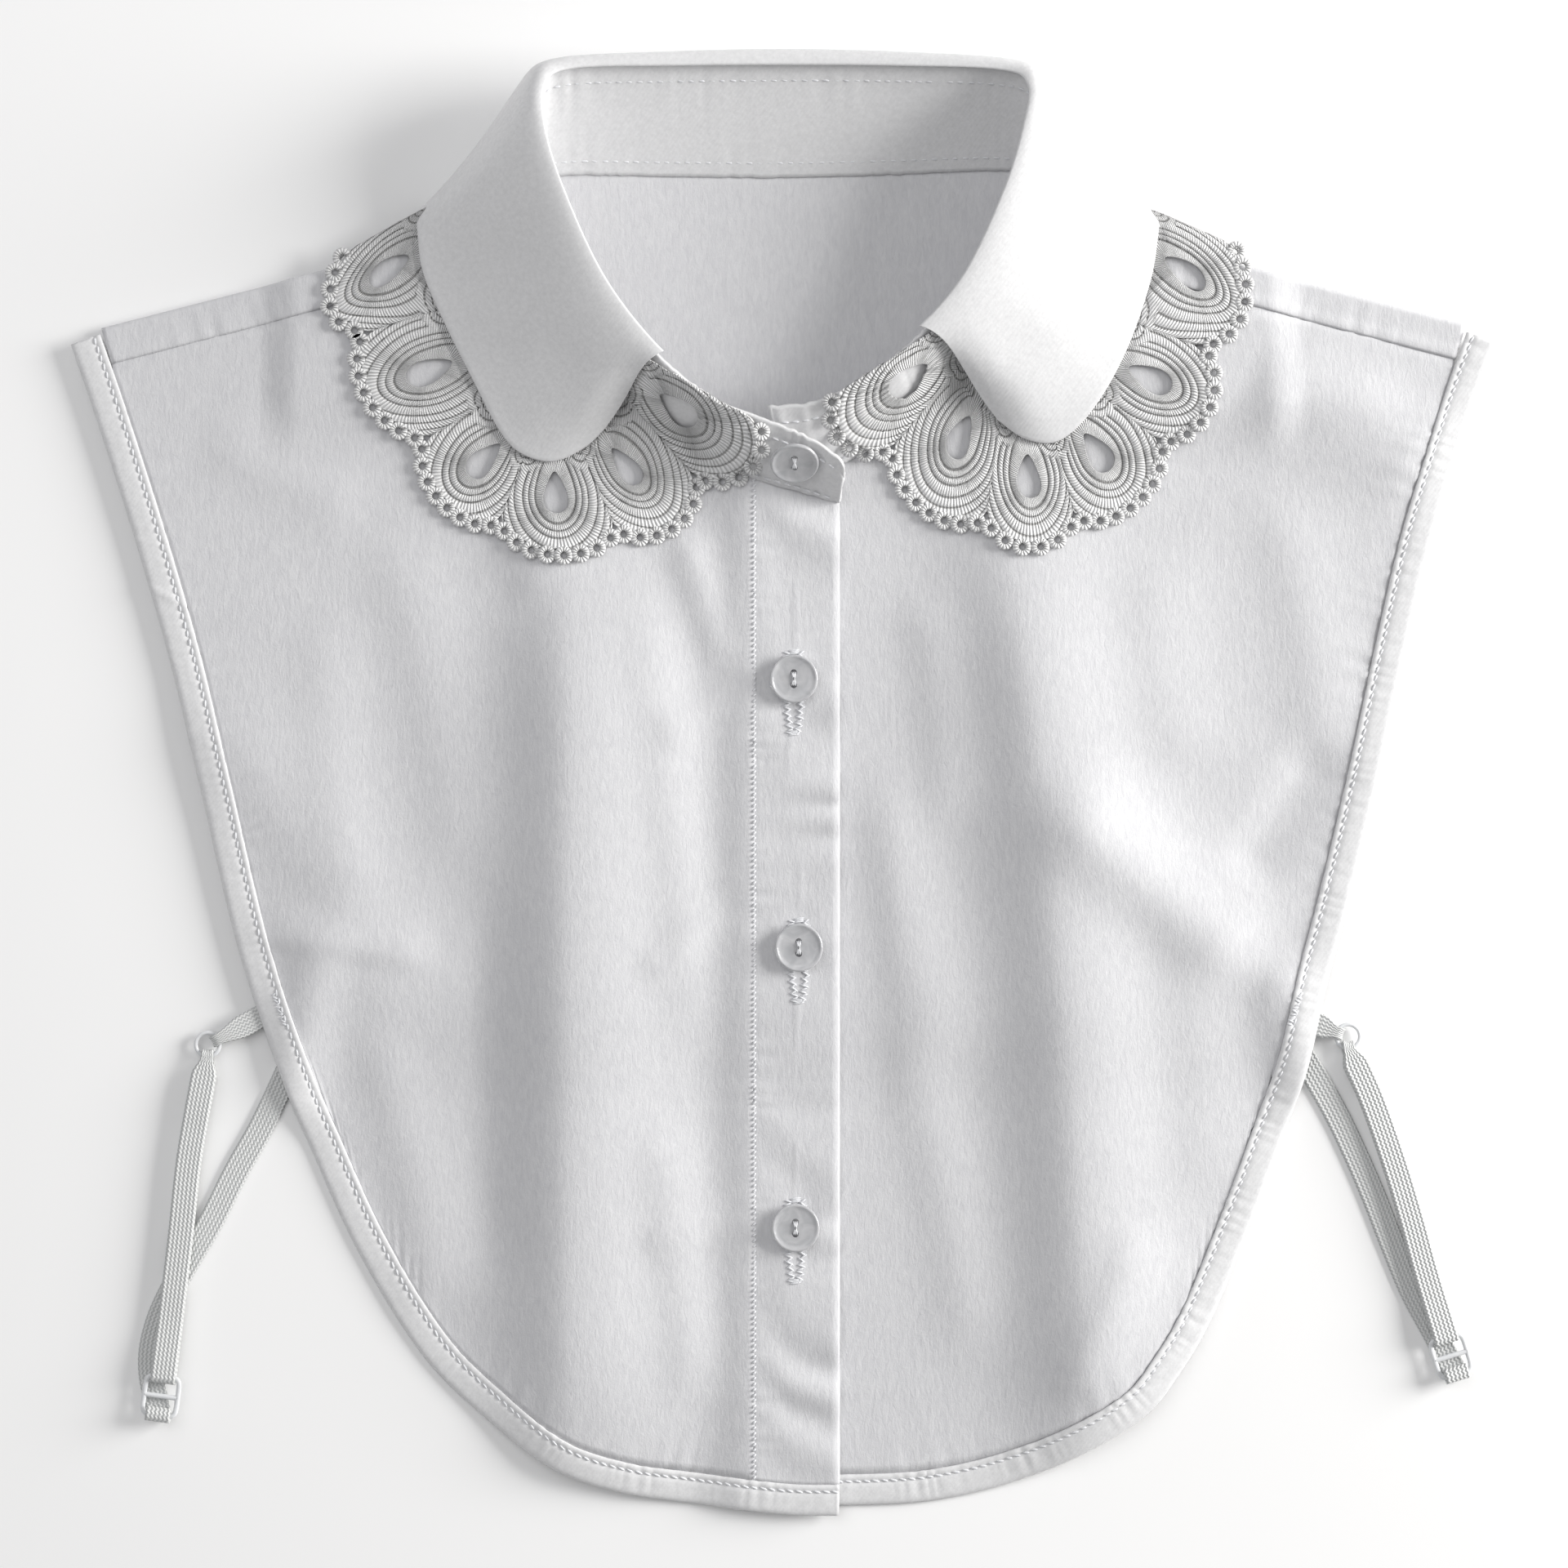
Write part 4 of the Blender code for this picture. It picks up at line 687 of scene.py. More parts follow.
# %% Hard materials
def button_resin():
    """Cast polyester resin: glossy, half clear, with a faint pearly cloud 4 mm across."""
    made, tree, shader = new_material("Pearly polyester resin")
    place = add(tree, "ShaderNodeTexCoord")
    cloud = add(tree, "ShaderNodeTexNoise", {"Vector": place.outputs["Object"]},
                {"Scale": per_metre(4.0), "Detail": 3.0, "Distortion": 1.2})
    tint = add(tree, "ShaderNodeValToRGB", {"Fac": cloud.outputs["Fac"]})
    tint.color_ramp.elements[0].position = 0.3
    tint.color_ramp.elements[0].color = linear("#CFD0D3")
    tint.color_ramp.elements[1].position = 0.7
    tint.color_ramp.elements[1].color = linear("#E6E6E8")
    bump = add(tree, "ShaderNodeBump", {"Height": cloud.outputs["Fac"]}, {"Strength": 0.05, "Distance": 0.0005})
    tree.links.new(tint.outputs["Color"], shader.inputs["Base Color"])
    tree.links.new(bump.outputs["Normal"], shader.inputs["Normal"])
    shader.inputs["Roughness"].default_value = 0.16
    shader.inputs["IOR"].default_value = 1.55
    shader.inputs["Transmission Weight"].default_value = 0.35
    shader.inputs["Coat Weight"].default_value = 0.5
    shader.inputs["Coat Roughness"].default_value = 0.08
    return made


def coated_metal():
    """Nylon coated steel of the rings and sliders: white, softly glossy, a slight orange peel."""
    made, tree, shader = new_material("White nylon coated steel")
    place = add(tree, "ShaderNodeTexCoord")
    peel = add(tree, "ShaderNodeTexNoise", {"Vector": place.outputs["Object"]},
               {"Scale": per_metre(1.2), "Detail": 2.0})
    tint = add(tree, "ShaderNodeValToRGB", {"Fac": peel.outputs["Fac"]})
    tint.color_ramp.elements[0].color = linear("#D9DBDE")
    tint.color_ramp.elements[1].color = linear("#ECEDEE")
    bump = add(tree, "ShaderNodeBump", {"Height": peel.outputs["Fac"]}, {"Strength": 0.06, "Distance": 0.0002})
    tree.links.new(tint.outputs["Color"], shader.inputs["Base Color"])
    tree.links.new(bump.outputs["Normal"], shader.inputs["Normal"])
    shader.inputs["Roughness"].default_value = 0.28
    return made


CREPE = crepe_cloth()
SATIN = satin_cloth()
GUIPURE = guipure_thread()
THREAD = sewing_thread()
ELASTIC = ribbed_elastic()
RESIN = button_resin()
COATED = coated_metal()
print("materials", len(bpy.data.materials))


# %% [markdown]
# Fronts
#
# Each front is one flat piece of crepe, sewn to the shoulder strip, the stand, the binding and, on
# the left, the placket. The grid follows its own four edges, so the creases and the puckers along a
# seam can run with them. A cloth simulation would fold at random. Crests listed in FOLDS and CREASES fall where
# the real cloth folds. The puckers are short waves that the seam draws up, uneven in size.

# %% Bib fronts
CLOTH = 0.6                 # wall of one cloth; the solids' walls are thicker
LOWEST = 0.45               # of a cloth's middle over the table
SEAM_CLEAR = 0.0            # from the stand's foot to the cloth's edge
NAPE_TUCK = 1.0             # of the back panel under the stand
TUCK = 1.5                  # of a front under the placket and the shoulder strip
PLACKET_CLOTH = 1.3
FLUSH = (PLACKET_CLOTH - CLOTH) / 2  # lift of the left front at the placket, so that their upper faces meet


def uneven(at, wave, seed):
    """Waves of about one length and uneven height: a sine whose phase wanders, times a slow swell."""
    phase = 0.9 * np.sin(at * math.tau / (wave * 5.3) + seed) + 0.6 * np.sin(at * math.tau / (wave * 2.3) + 2 * seed)
    swell = 0.55 + 0.45 * np.sin(at * math.tau / (wave * 7.7) + 3 * seed)
    return swell * np.sin(at * math.tau / wave + 2.2 * phase)


def pucker(distance, at, wave=5.2, high=0.16, reach=7.0, seed=1.0):
    """Waves across a seam, highest at it and gone at reach mm from it."""
    return high * uneven(at, wave, seed) * np.exp(-(np.abs(distance) / reach) ** 1.5)


def outline(side):
    """Outer edge of a front."""
    return OUTLINE_LEFT if side == "left" else OUTLINE_RIGHT


def neck_line(first, last, count, away):
    """Part of the neck seam between two rows of STAND, moved away from the opening."""
    path = table_at([row[:2] for row in STAND], np.linspace(first, last, count))
    return path - sideways(path) * away * np.sign(last - first)


def front_plan(side, columns, neck_rows, down_rows):
    """A front in plan, between its shoulder seam, neck, centre edge, hem and side."""
    mirror = 1 if side == "left" else -1
    centre_x = PLACKET_LEFT_X + TUCK if side == "left" else RIGHT_EDGE_X
    points = outline(side)
    whole = curve(points, 400)
    inner = whole - sideways(whole) * mirror * (BINDING_WIDTH + GAP)
    seam_arm, seam_neck = (np.array(p) + (0, TUCK) for p in SHOULDER[side]["seam"])
    side_edge = inner[(inner[:, 1] < seam_arm[1] - 3) & (inner[:, 1] >= points[SIDE_POINTS - 1][1])]
    hem = inner[(mirror * (centre_x - inner[:, 0]) > 2) & (inner[:, 1] < points[SIDE_POINTS - 1][1])]
    rising = inner[::mirror]
    end = np.array([centre_x, np.interp(centre_x, rising[:, 0], rising[:, 1])])
    rows = neck_rows + down_rows - 1
    left = curve(np.vstack([seam_arm, side_edge[::6], hem[:1]]), rows)
    bottom = curve(np.vstack([hem[::6], end]), columns)
    neck = neck_line(*((5.45, 2.0) if side == "left" else (16.5, 21.0)), neck_rows, SEAM_CLEAR)
    neck[0] = seam_neck
    neck[-1, 0] = centre_x
    down = np.stack([np.full(down_rows, centre_x), np.linspace(neck[-1, 1], end[1], down_rows)], axis=1)
    right = np.vstack([neck, down[1:]])
    top = seam_arm + (seam_neck - seam_arm) * np.linspace(0, 1, columns)[:, None]
    return coons(top, bottom, left, right)


def front(side, columns=110, neck_rows=56, down_rows=110):
    """One bib front with the puckers of its seams."""
    plan = front_plan(side, columns, neck_rows, down_rows)
    x, y = plan[..., 0], plan[..., 1]
    z = front_left_height(x, y) if side == "left" else front_right_height(x, y)
    steps = np.linalg.norm(np.diff(plan, axis=0), axis=2)
    down = np.vstack([np.zeros(columns), np.cumsum(steps, axis=0)])
    over = np.linalg.norm(np.diff(plan, axis=1), axis=2)
    across = np.hstack([np.zeros((len(plan), 1)), np.cumsum(over, axis=1)])
    from_hem = down[-1] - down
    from_centre = across[:, -1:] - across
    z = z + pucker(across, down, 6.1, 0.2, 8.0, 1.3)
    z = z + pucker(from_hem, across, 5.4, 0.22, 8.0, 2.1) * smooth(0, 12, from_centre)
    if side == "left":
        z = z + pucker(x - PLACKET_LEFT_X, y, 5.3, 0.16, 5.0, 4.2)
        z = z + FLUSH * smooth(PLACKET_LEFT_X - 9, PLACKET_LEFT_X - 1, x)
        z = z - (FLUSH + 0.75) * smooth(PLACKET_LEFT_X + 0.1, PLACKET_LEFT_X + TUCK, x)
    z = z - 0.5 * smooth(2 * TUCK, 0.8 * TUCK, down)
    faces = face_up(plan, grid_faces(*plan.shape[:2]))
    made = mesh_piece(f"front_{side}", np.dstack([x, y, np.maximum(z, LOWEST)]), faces, CREPE)
    wall(made, CLOTH)
    return made


front_left = front("left")
front_right = front("right")
print("fronts", len(front_left.data.polygons), len(front_right.data.polygons))

# %% [markdown]
# Placket
#
# The button band is cloth folded twice, stitched along its left edge and folded at its right one.
# Each button pulls it down a little, and short creases fan out from the buttonhole.

# %% Placket
def placket_plan(columns, rows):
    """The button band in plan."""
    top = neck_line(2.0, 0.0, columns, SEAM_CLEAR)
    top[[0, -1], 0] = PLACKET_LEFT_X, PLACKET_RIGHT_X
    whole = curve(OUTLINE_LEFT, 400)
    inner = whole - sideways(whole) * (BINDING_WIDTH + GAP)
    x = np.linspace(PLACKET_LEFT_X, PLACKET_RIGHT_X, columns)
    bottom = np.stack([x, np.interp(x, inner[:, 0], inner[:, 1])], axis=1)
    share = np.linspace(0, 1, rows)[:, None]
    left = top[0] + (bottom[0] - top[0]) * share
    right = top[-1] + (bottom[-1] - top[-1]) * share
    return coons(top, bottom, left, right)


def button_pull(x, y):
    """Hollow round each button, with five creases that fan out from it and fade."""
    total = np.zeros_like(x)
    for number, (bx, by) in enumerate(BUTTONS.values()):
        away = np.hypot(x - bx, y - by)
        angle = np.arctan2(y - by, x - bx)
        fan = np.cos(5 * angle + 1.7 * number) * 0.5 + 0.5 * np.cos(3 * angle - number)
        total += (-0.35 + 0.3 * fan * smooth(5, 9, away)) * np.exp(-(away / 10) ** 2)
    return total


# Thin pressed creases above and below the buttons. The same columns as FOLDS.
PRESSED = [
    (2.9, 49.0, 3.0, 32.0, 0.0, 0.15, 0.35, 0.6),
    (2.2, 14.0, 1.0, 3.0, 0.0, 0.15, 0.35, 0.6),
    (4.0, -18.0, 4.0, -32.0, 0.0, 0.13, 0.35, 0.6),
    (3.6, -52.0, 3.0, -66.0, 0.0, 0.15, 0.35, 0.6),
    (3.2, -86.0, 3.0, -100.0, 0.0, 0.13, 0.35, 0.6),
]


def placket_waves(x, y):
    """Puckers along the stitched edge and longer ones along the folded edge."""
    stitched = pucker(x - PLACKET_LEFT_X, y, 5.3, 0.16, 5.0, 4.2)
    folded = pucker(x - PLACKET_RIGHT_X, y, 15.0, 0.55, 9.0, 0.6)
    broad = 0.5 * uneven(y + 0.5 * x, 24.0, 2.0) * smooth(PLACKET_LEFT_X, 2, x)
    return stitched + folded + broad + ridges(PRESSED, x, y)


def placket(columns=34, rows=260):
    """The button band, rounded at its folded edge."""
    plan = placket_plan(columns, rows)
    x, y = plan[..., 0], plan[..., 1]
    z = placket_height(x, y) + button_pull(x, y)
    z = z + placket_waves(x, y)
    z = z - 0.12 * smooth(PLACKET_LEFT_X + 1.0, PLACKET_LEFT_X, x)
    z = z - 0.5 * smooth(PLACKET_RIGHT_X - 1.6, PLACKET_RIGHT_X, x) ** 2
    faces = face_up(plan, grid_faces(rows, columns))
    made = mesh_piece("placket", np.dstack([x, y, z]), faces, CREPE)
    wall(made, PLACKET_CLOTH)
    return made


placket_piece = placket()
print("placket", len(placket_piece.data.polygons))

# %% [markdown]
# Bias binding
#
# A strip cut on the bias, folded round the raw edge and stitched through. Its section has a rounded
# outer fold, a flat middle, a groove where the stitching pulls it in, and a lip beyond the stitches.
# The bias strip was joined once on the left side with a slanting seam, which shows as a low ridge.

# %% Bindings
BINDING_OFFSETS = [0.1, 0.35, 0.8, 1.5, 2.4, 3.3, 4.2, 4.9, 5.3, 5.6, 5.9, 6.2, 6.5, 6.8, 7.0]
BINDING_LIFTS = [-0.3, 0.0, 0.14, 0.2, 0.22, 0.24, 0.24, 0.16, -0.02, -0.12, -0.04, 0.14, 0.22, 0.16, 0.0]
BINDING_CLOTH = 1.1
BIAS_JOIN = (-151.7, 44.9)


def ribbon(path, offsets):
    """A strip along a path: one point for each offset to the right of it."""
    side = sideways(path)
    return path[:, None, :2] + side[:, None, :] * np.asarray(offsets)[None, :, None]


def binding_section(at, offsets, seed):
    """Lift of the binding's surface: its section, drawn up in waves along the stitching."""
    lifts = np.array(BINDING_LIFTS)[None]
    wave = uneven(at, 3.6, seed)[:, None]
    return lifts * (1 + 0.35 * wave) + 0.09 * wave * smooth(2.0, 6.0, offsets)[None]


def binding(side, count=520):
    """Bias binding round a front's side and hem."""
    mirror = 1 if side == "left" else -1
    path = curve(outline(side), count)
    offsets = np.array(BINDING_OFFSETS)
    plan = ribbon(path, -mirror * offsets)
    x, y = plan[..., 0], plan[..., 1]
    at = np.r_[0, np.cumsum(np.linalg.norm(np.diff(path, axis=0), axis=1))]
    z = left_side_height(x, y) if side == "left" else front_right_height(x, y)
    z = z + (BINDING_WALL - WALL) / 2 + binding_section(at, offsets, 1.0 if side == "left" else 2.4)
    if side == "left":
        join = at[np.argmin(((path - BIAS_JOIN) ** 2).sum(axis=1))]
        z = z + 0.35 * np.exp(-((at[:, None] - join - offsets[None] + 3.5) / 0.7) ** 2)
    faces = face_up(plan, grid_faces(count, len(offsets)))
    made = mesh_piece(f"binding_{side}", np.dstack([x, y, np.maximum(z, LOWEST)]), faces, SATIN)
    wall(made, BINDING_CLOTH)
    return made


def back_outline(inset, count, top_y):
    """The back panel's side, hem and other side, moved inwards from the fronts' outline."""
    left = curve(OUTLINE_LEFT, 90)
    left = left - sideways(left) * inset
    right = curve(OUTLINE_RIGHT, 90)
    right = right + sideways(right) * inset
    hem_y = BACK_HEM_Y - BINDING_WIDTH + inset - BACK_SET_IN
    left = left[(left[:, 1] > hem_y + 14) & (left[:, 1] < top_y)]
    right = right[(right[:, 1] > hem_y + 14) & (right[:, 1] < top_y)]
    hem_x = np.linspace(left[-1, 0] + 17, right[-1, 0] - 17, 9)
    hem = np.stack([hem_x, np.full(9, hem_y)], axis=1)
    return curve(np.vstack([left, hem, right[::-1]]), count)


def binding_back(count=360):
    """Bias binding round the back panel's sides and hem."""
    path = back_outline(BACK_SET_IN, count, 95)
    offsets = np.array(BINDING_OFFSETS[::2])
    plan = ribbon(path, -offsets)
    x, y = plan[..., 0], plan[..., 1]
    z = back_height(x, y) + 0.35 * np.array(BINDING_LIFTS[::2])[None]
    faces = face_up(plan, grid_faces(count, len(offsets)))
    made = mesh_piece("binding_back", np.dstack([x, y, z]), faces, SATIN)
    wall(made, CLOTH)
    return made


binding_left = binding("left")
binding_right = binding("right")
binding_under = binding_back()
print("bindings", len(binding_left.data.polygons), len(binding_right.data.polygons), len(binding_under.data.polygons))

# %% [markdown]
# Back panel
#
# The back lies under the fronts. At each shoulder a strip of it folds over to the front, where the
# shoulder seam is. The strip is part of the same cloth, so panel and strips are one welded sheet.

# %% Back panel
STRIP_ANGLES = np.linspace(-90, 90, 13)
STRIP_SHARES = np.linspace(0.1, 1.0, 13)


def shoulder_strip(side, edge):
    """Points of a strip: half a turn round the fold, then flat on the front to the seam."""
    width = np.array(SHOULDER[side]["seam"][0]) - np.array(SHOULDER[side]["fold"][0])
    inward = width / np.linalg.norm(width)
    low = back_height(edge[:, 0], edge[:, 1])
    high = front_height(edge[:, 0], edge[:, 1])
    radius = (high - low) / 2
    angle = np.radians(STRIP_ANGLES)[:, None]
    turned = edge[None] - inward * (radius[None] * np.cos(angle))[..., None]
    turned = np.dstack([turned, low + radius * (1 + np.sin(angle))])
    flat = edge[None] + width * STRIP_SHARES[:, None, None]
    flat_z = front_height(flat[..., 0], flat[..., 1])
    at = np.r_[0, np.cumsum(np.linalg.norm(np.diff(edge, axis=0), axis=1))]
    flat_z = flat_z + pucker((1 - STRIP_SHARES[:, None]) * 8, at[None], 5.8, 0.2, 6.0, 3.3)
    flat_z = flat_z + 0.25 * smooth(0.5, 0.85, STRIP_SHARES[:, None]) - 0.3 * smooth(0.9, 1.0, STRIP_SHARES[:, None])
    return np.concatenate([turned, np.dstack([flat, flat_z])])


def back_panel(shoulder=90, neck=60, rows=70):
    """The back, with a strip at each shoulder that folds over to the front."""
    edges = {}
    for side in ("left", "right"):
        arm, end = (np.array(p) for p in SHOULDER[side]["fold"])
        edges[side] = arm + (end - arm) * np.linspace(0, 1, shoulder)[:, None]
    nape = neck_line(7.15, 14.85, neck, NAPE_TUCK)
    top = np.vstack([edges["left"], nape, edges["right"][::-1]])
    outer = back_outline(BACK_SET_IN + BINDING_WIDTH + GAP, 200, 101)
    corner = int(np.argmax(outer[:, 1] < BACK_HEM_Y + 0.4))
    left = curve(np.vstack([top[0], outer[1:corner]]), rows)
    right = curve(np.vstack([top[-1], outer[::-1][1:corner]]), rows)
    bottom = np.linspace(left[-1], right[-1], len(top))
    plan = coons(top, bottom, left, right)
    points = [with_height(plan, back_height).reshape(-1, 3)]
    faces = [face_up(plan, grid_faces(rows, len(top)))]
    count = rows * len(top)
    for side in ("left", "right"):
        strip = shoulder_strip(side, edges[side])
        points.append(strip.reshape(-1, 3))
        faces.append(grid_faces(len(strip), shoulder, count))
        count += len(strip) * shoulder
    made = mesh_piece("back_panel", np.vstack(points), np.vstack(faces), CREPE)
    merge(made)
    wall(made, CLOTH)
    return made


back_piece = back_panel()
print("back panel", len(back_piece.data.polygons))


# %% [markdown]
# Stand and leaf
#
# The stand rises from the neck seam to the roll line, where the leaf turns over and falls outwards
# to its round points. Each section of the leaf is one Bezier curve, from just inside the roll to the
# edge. Interfacing keeps both smooth, so they only get a shallow swell. The stand has a row of
# stitches along its top and its foot, and the leaf is turned out with none.

# %% Stand
LEAF_CLOTH = 0.9
STAND_CORNER = 3.5          # radius of the stand's front corner
LEAF_LIFT = 0.35            # of the leaf's edge by the lace sewn under it


def stand_rows(place):
    """Foot and top of the stand at fractional rows of STAND."""
    row = table_at(STAND, place)
    foot, top = row[:, :2], row[:, 2:]
    on_front = smooth(8.2, 6.8, place) + smooth(13.8, 15.2, place)
    left_z = left_side_height(foot[:, 0], foot[:, 1])
    front_z = np.where(place < 11, left_z, front_right_height(foot[:, 0], foot[:, 1]))
    back_z = back_height(foot[:, 0], foot[:, 1])
    foot_z = back_z + (front_z - back_z) * on_front + 0.3
    return np.c_[foot, foot_z], top


def stand_points(place, q):
    """Points of the stand: q from the foot, 0, to the top, 1."""
    foot, top = stand_rows(place)
    q = np.asarray(q)[None, :, None]
    points = foot[:, None] + (top - foot)[:, None] * q
    points[..., :2] -= sideways(foot)[:, None] * STAND_BULGE * np.sin(math.pi * q)
    return points


def round_corner(points, place, q):
    """Draws the sections near the left end down, so that its upper corner is a quarter circle."""
    foot, top = points[:, :1], points[:, -1:]
    at = np.r_[0, np.cumsum(np.linalg.norm(np.diff(points[:, -1], axis=0), axis=1))]
    left = np.clip(STAND_CORNER - at, 0, STAND_CORNER)
    drop = STAND_CORNER - np.sqrt(STAND_CORNER**2 - left**2)
    height = np.linalg.norm(top - foot, axis=2)[:, 0]
    return foot + (points - foot) * (1 - drop / height)[:, None, None]


def collar_stand(sections=420, across=30):
    """The stand, with a groove at each row of stitches and short puckers between them."""
    place = np.linspace(0, len(STAND) - 1, sections)
    q = np.linspace(0, 1, across)
    points = stand_points(place, q)
    points = round_corner(points, place, q)
    at = np.r_[0, np.cumsum(np.linalg.norm(np.diff(points[:, across // 2], axis=0), axis=1))]
    out = -sideways(points[:, 0])[:, None]
    low = pucker(q[None] * 22 - 3, at[:, None], 4.6, 0.22, 6.0, 0.4)
    high = pucker((1 - q[None]) * 22 - 4, at[:, None], 4.1, 0.3, 6.0, 1.9)
    groove = -0.2 * np.exp(-((q[None] - 0.13) / 0.025) ** 2) - 0.25 * np.exp(-((q[None] - 0.83) / 0.025) ** 2)
    points[..., :2] += out * (low + high + groove)[..., None]
    made = mesh_piece("collar_stand", points, grid_faces(sections, across)[:, ::-1], SATIN)
    wall(made, LEAF_CLOTH)
    return made


stand_piece = collar_stand()
print("stand", len(stand_piece.data.polygons))


# %% Leaf
def leaf_sections(place):
    """Control points of the leaf's sections: over the stand's top, out, and down."""
    row, x, y, level = table_at(LEAF, place).T
    level = np.clip(level, 0, 1)[:, None]
    _, top = stand_rows(row)
    out = top[:, :2] - OPENING_CENTRE
    out /= np.linalg.norm(out, axis=1)[:, None]
    edge = np.c_[x, y]
    fall = edge - top[:, :2]
    fall /= np.linalg.norm(fall, axis=1)[:, None]
    on_front = front_height(x, y)[:, None] + LAYER + GAP
    edge_z = TABLE_LEVEL + (on_front - TABLE_LEVEL) * level
    start = np.c_[top[:, :2] - out * 1.6, top[:, 2] + LAYER + 0.3]
    over = np.c_[top[:, :2] + out * 7.0, top[:, 2] + LAYER + 1.6]
    end = np.c_[edge, edge_z]
    before_front = np.c_[edge - fall * 13, on_front + 3.5]
    before_back = np.c_[top[:, :2] + out * 4.5, np.full_like(on_front, -3.5)]
    before = before_back + (before_front - before_back) * smooth(0, 1, level)
    return start, over, before, end, level[:, 0]


def leaf_points(place, share):
    """Points of the leaf: (1-t)^3 a + 3(1-t)^2 t b + 3(1-t) t^2 c + t^3 d for each section."""
    start, over, before, end, _ = leaf_sections(place)
    t = np.asarray(share)[None, :, None]
    a, b, c, d = (p[:, None] for p in (start, over, before, end))
    points = (1 - t)**3 * a + 3 * (1 - t)**2 * t * b + 3 * (1 - t) * t**2 * c + t**3 * d
    points[..., 2] = np.maximum(points[..., 2], TABLE_LEVEL)
    return points


# Hollows and swells of the leaf: centre x, y, height, radius.
LEAF_SWELLS = [
    (-62.0, 92.0, 0.5, 9.0), (-54.0, 104.0, -0.4, 8.0), (-72.0, 112.0, 0.5, 9.0), (-66.0, 128.0, -0.4, 8.0),
    (60.0, 94.0, 0.5, 9.0), (56.0, 108.0, -0.5, 8.0), (74.0, 110.0, 0.5, 9.0), (70.0, 128.0, -0.4, 9.0),
    (-44.0, 92.0, 0.35, 6.0), (47.0, 98.0, 0.35, 6.0),
]


def swell(rows, x, y):
    """Sum of round bells."""
    total = np.zeros_like(x)
    for cx, cy, high, radius in rows:
        total += high * np.exp(-((x - cx) ** 2 + (y - cy) ** 2) / radius**2)
    return total


def collar_leaf(sections=460, across=60):
    """The leaf, turned out at its edge, with a few soft hollows."""
    place = np.linspace(0, len(LEAF) - 1, sections)
    share = np.r_[np.linspace(0, 0.78, across - 26, endpoint=False), np.linspace(0.78, 1, 26)]
    points = leaf_points(place, share)
    span = np.linalg.norm(np.diff(points, axis=1), axis=2)
    to_edge = np.hstack([np.cumsum(span[:, ::-1], axis=1)[:, ::-1], np.zeros((sections, 1))])
    level = leaf_sections(place)[4][:, None]
    shown = smooth(0.4, 0.9, level)
    points[..., 2] += (LEAF_LIFT * smooth(14, 0, to_edge) + swell(LEAF_SWELLS, points[..., 0], points[..., 1])) * shown
    points[..., 2] -= 0.2 * smooth(0.9, 0.0, to_edge) * shown
    made = mesh_piece("collar_leaf", points, grid_faces(sections, across), SATIN)
    wall(made, LEAF_CLOTH)
    return made


leaf_piece = collar_leaf()
print("leaf", len(leaf_piece.data.polygons))

# %% [markdown]
# Guipure lace
#
# Guipure is embroidery without a ground: thread bands joined to each other. Every scallop here is
# four nested bands round a teardrop hole, with a row of picot loops on the outer curve and a
# small nest of arcs in the gusset between two teardrops. Real thread could be modelled, but at this
# size a band reads as a low rounded cord. So rings run from the hole to the rim, and the wall's
# height over them makes the bands. A map along the rings lets the thread cross them.

# %% Lace plan
LACE_BASE = 0.45            # wall of the web between bands
BAND_HIGH = 0.75            # of a stitched band over the web
# Where a lace begins, from the leaf's edge: under the leaf on the fronts, beside it on the table.
LACE_START = {"lace_left": -2.5, "lace_right": -2.5, "lace_back": 2 * LACE_EDGE_GAP}


def leaf_boundary(name, count=160):
    """The leaf's edge where a piece of lace is sewn on, with the level along it."""
    apexes = [i for i, row in enumerate(LEAF) if row[3] == 0.5]
    last = len(LEAF) - 1
    first_row, last_row = {"lace_left": (0, apexes[0]), "lace_back": apexes, "lace_right": (apexes[1], last)}[name]
    place = np.linspace(first_row, last_row, count)
    edge = leaf_points(place, [1.0])[:, 0]
    level = leaf_sections(place)[4]
    share = np.linspace(0.12, 0.98, 30)
    if name == "lace_left":
        edge = np.vstack([leaf_points(np.array([0.0]), share)[0], edge])
        level = np.r_[np.ones(len(share)), level]
    if name == "lace_right":
        edge = np.vstack([edge, leaf_points(np.array([float(last)]), share)[0][::-1]])
        level = np.r_[level, np.ones(len(share))]
    return edge, level


def over_stand(x, y, first, last):
    """Lowest z that clears the stand's outer face between two of its rows, and 0 away from it."""
    foot, top = stand_rows(np.linspace(first, last, 240))
    span = np.linalg.norm(top[:, :2] - foot[:, :2], axis=1)
    flat = np.stack([x.ravel(), y.ravel()], axis=1)
    clear = np.zeros(len(flat))
    for share in np.linspace(0, 1, 17):
        line = foot + (top - foot) * share
        line[:, :2] -= sideways(foot) * STAND_BULGE * math.sin(math.pi * share)
        gap = np.sqrt(((flat[:, None] - line[None, :, :2]) ** 2).sum(axis=2))
        nearest = gap.argmin(axis=1)
        steep = (top[nearest, 2] - foot[nearest, 2]) / span[nearest]
        need = line[nearest, 2] + (LEAF_CLOTH / 2 + 0.1) * np.sqrt(1 + steep**2)
        clear = np.maximum(clear, need - 1.6 * np.maximum(gap.min(axis=1) - 0.7, 0))
    return clear.reshape(x.shape)


def past_fold(x, y):
    """How far points lie beyond the line where the shoulder folds over."""
    far = np.zeros_like(x)
    for side, sign in (("left", -1), ("right", 1)):
        arm, end = (np.array(p) for p in SHOULDER[side]["fold"])
        run = (end - arm) / np.linalg.norm(end - arm)
        beyond = ((y - arm[1]) * run[0] - (x - arm[0]) * run[1]) * -sign
        far = np.where(x * sign > 0, beyond, far)
    return far


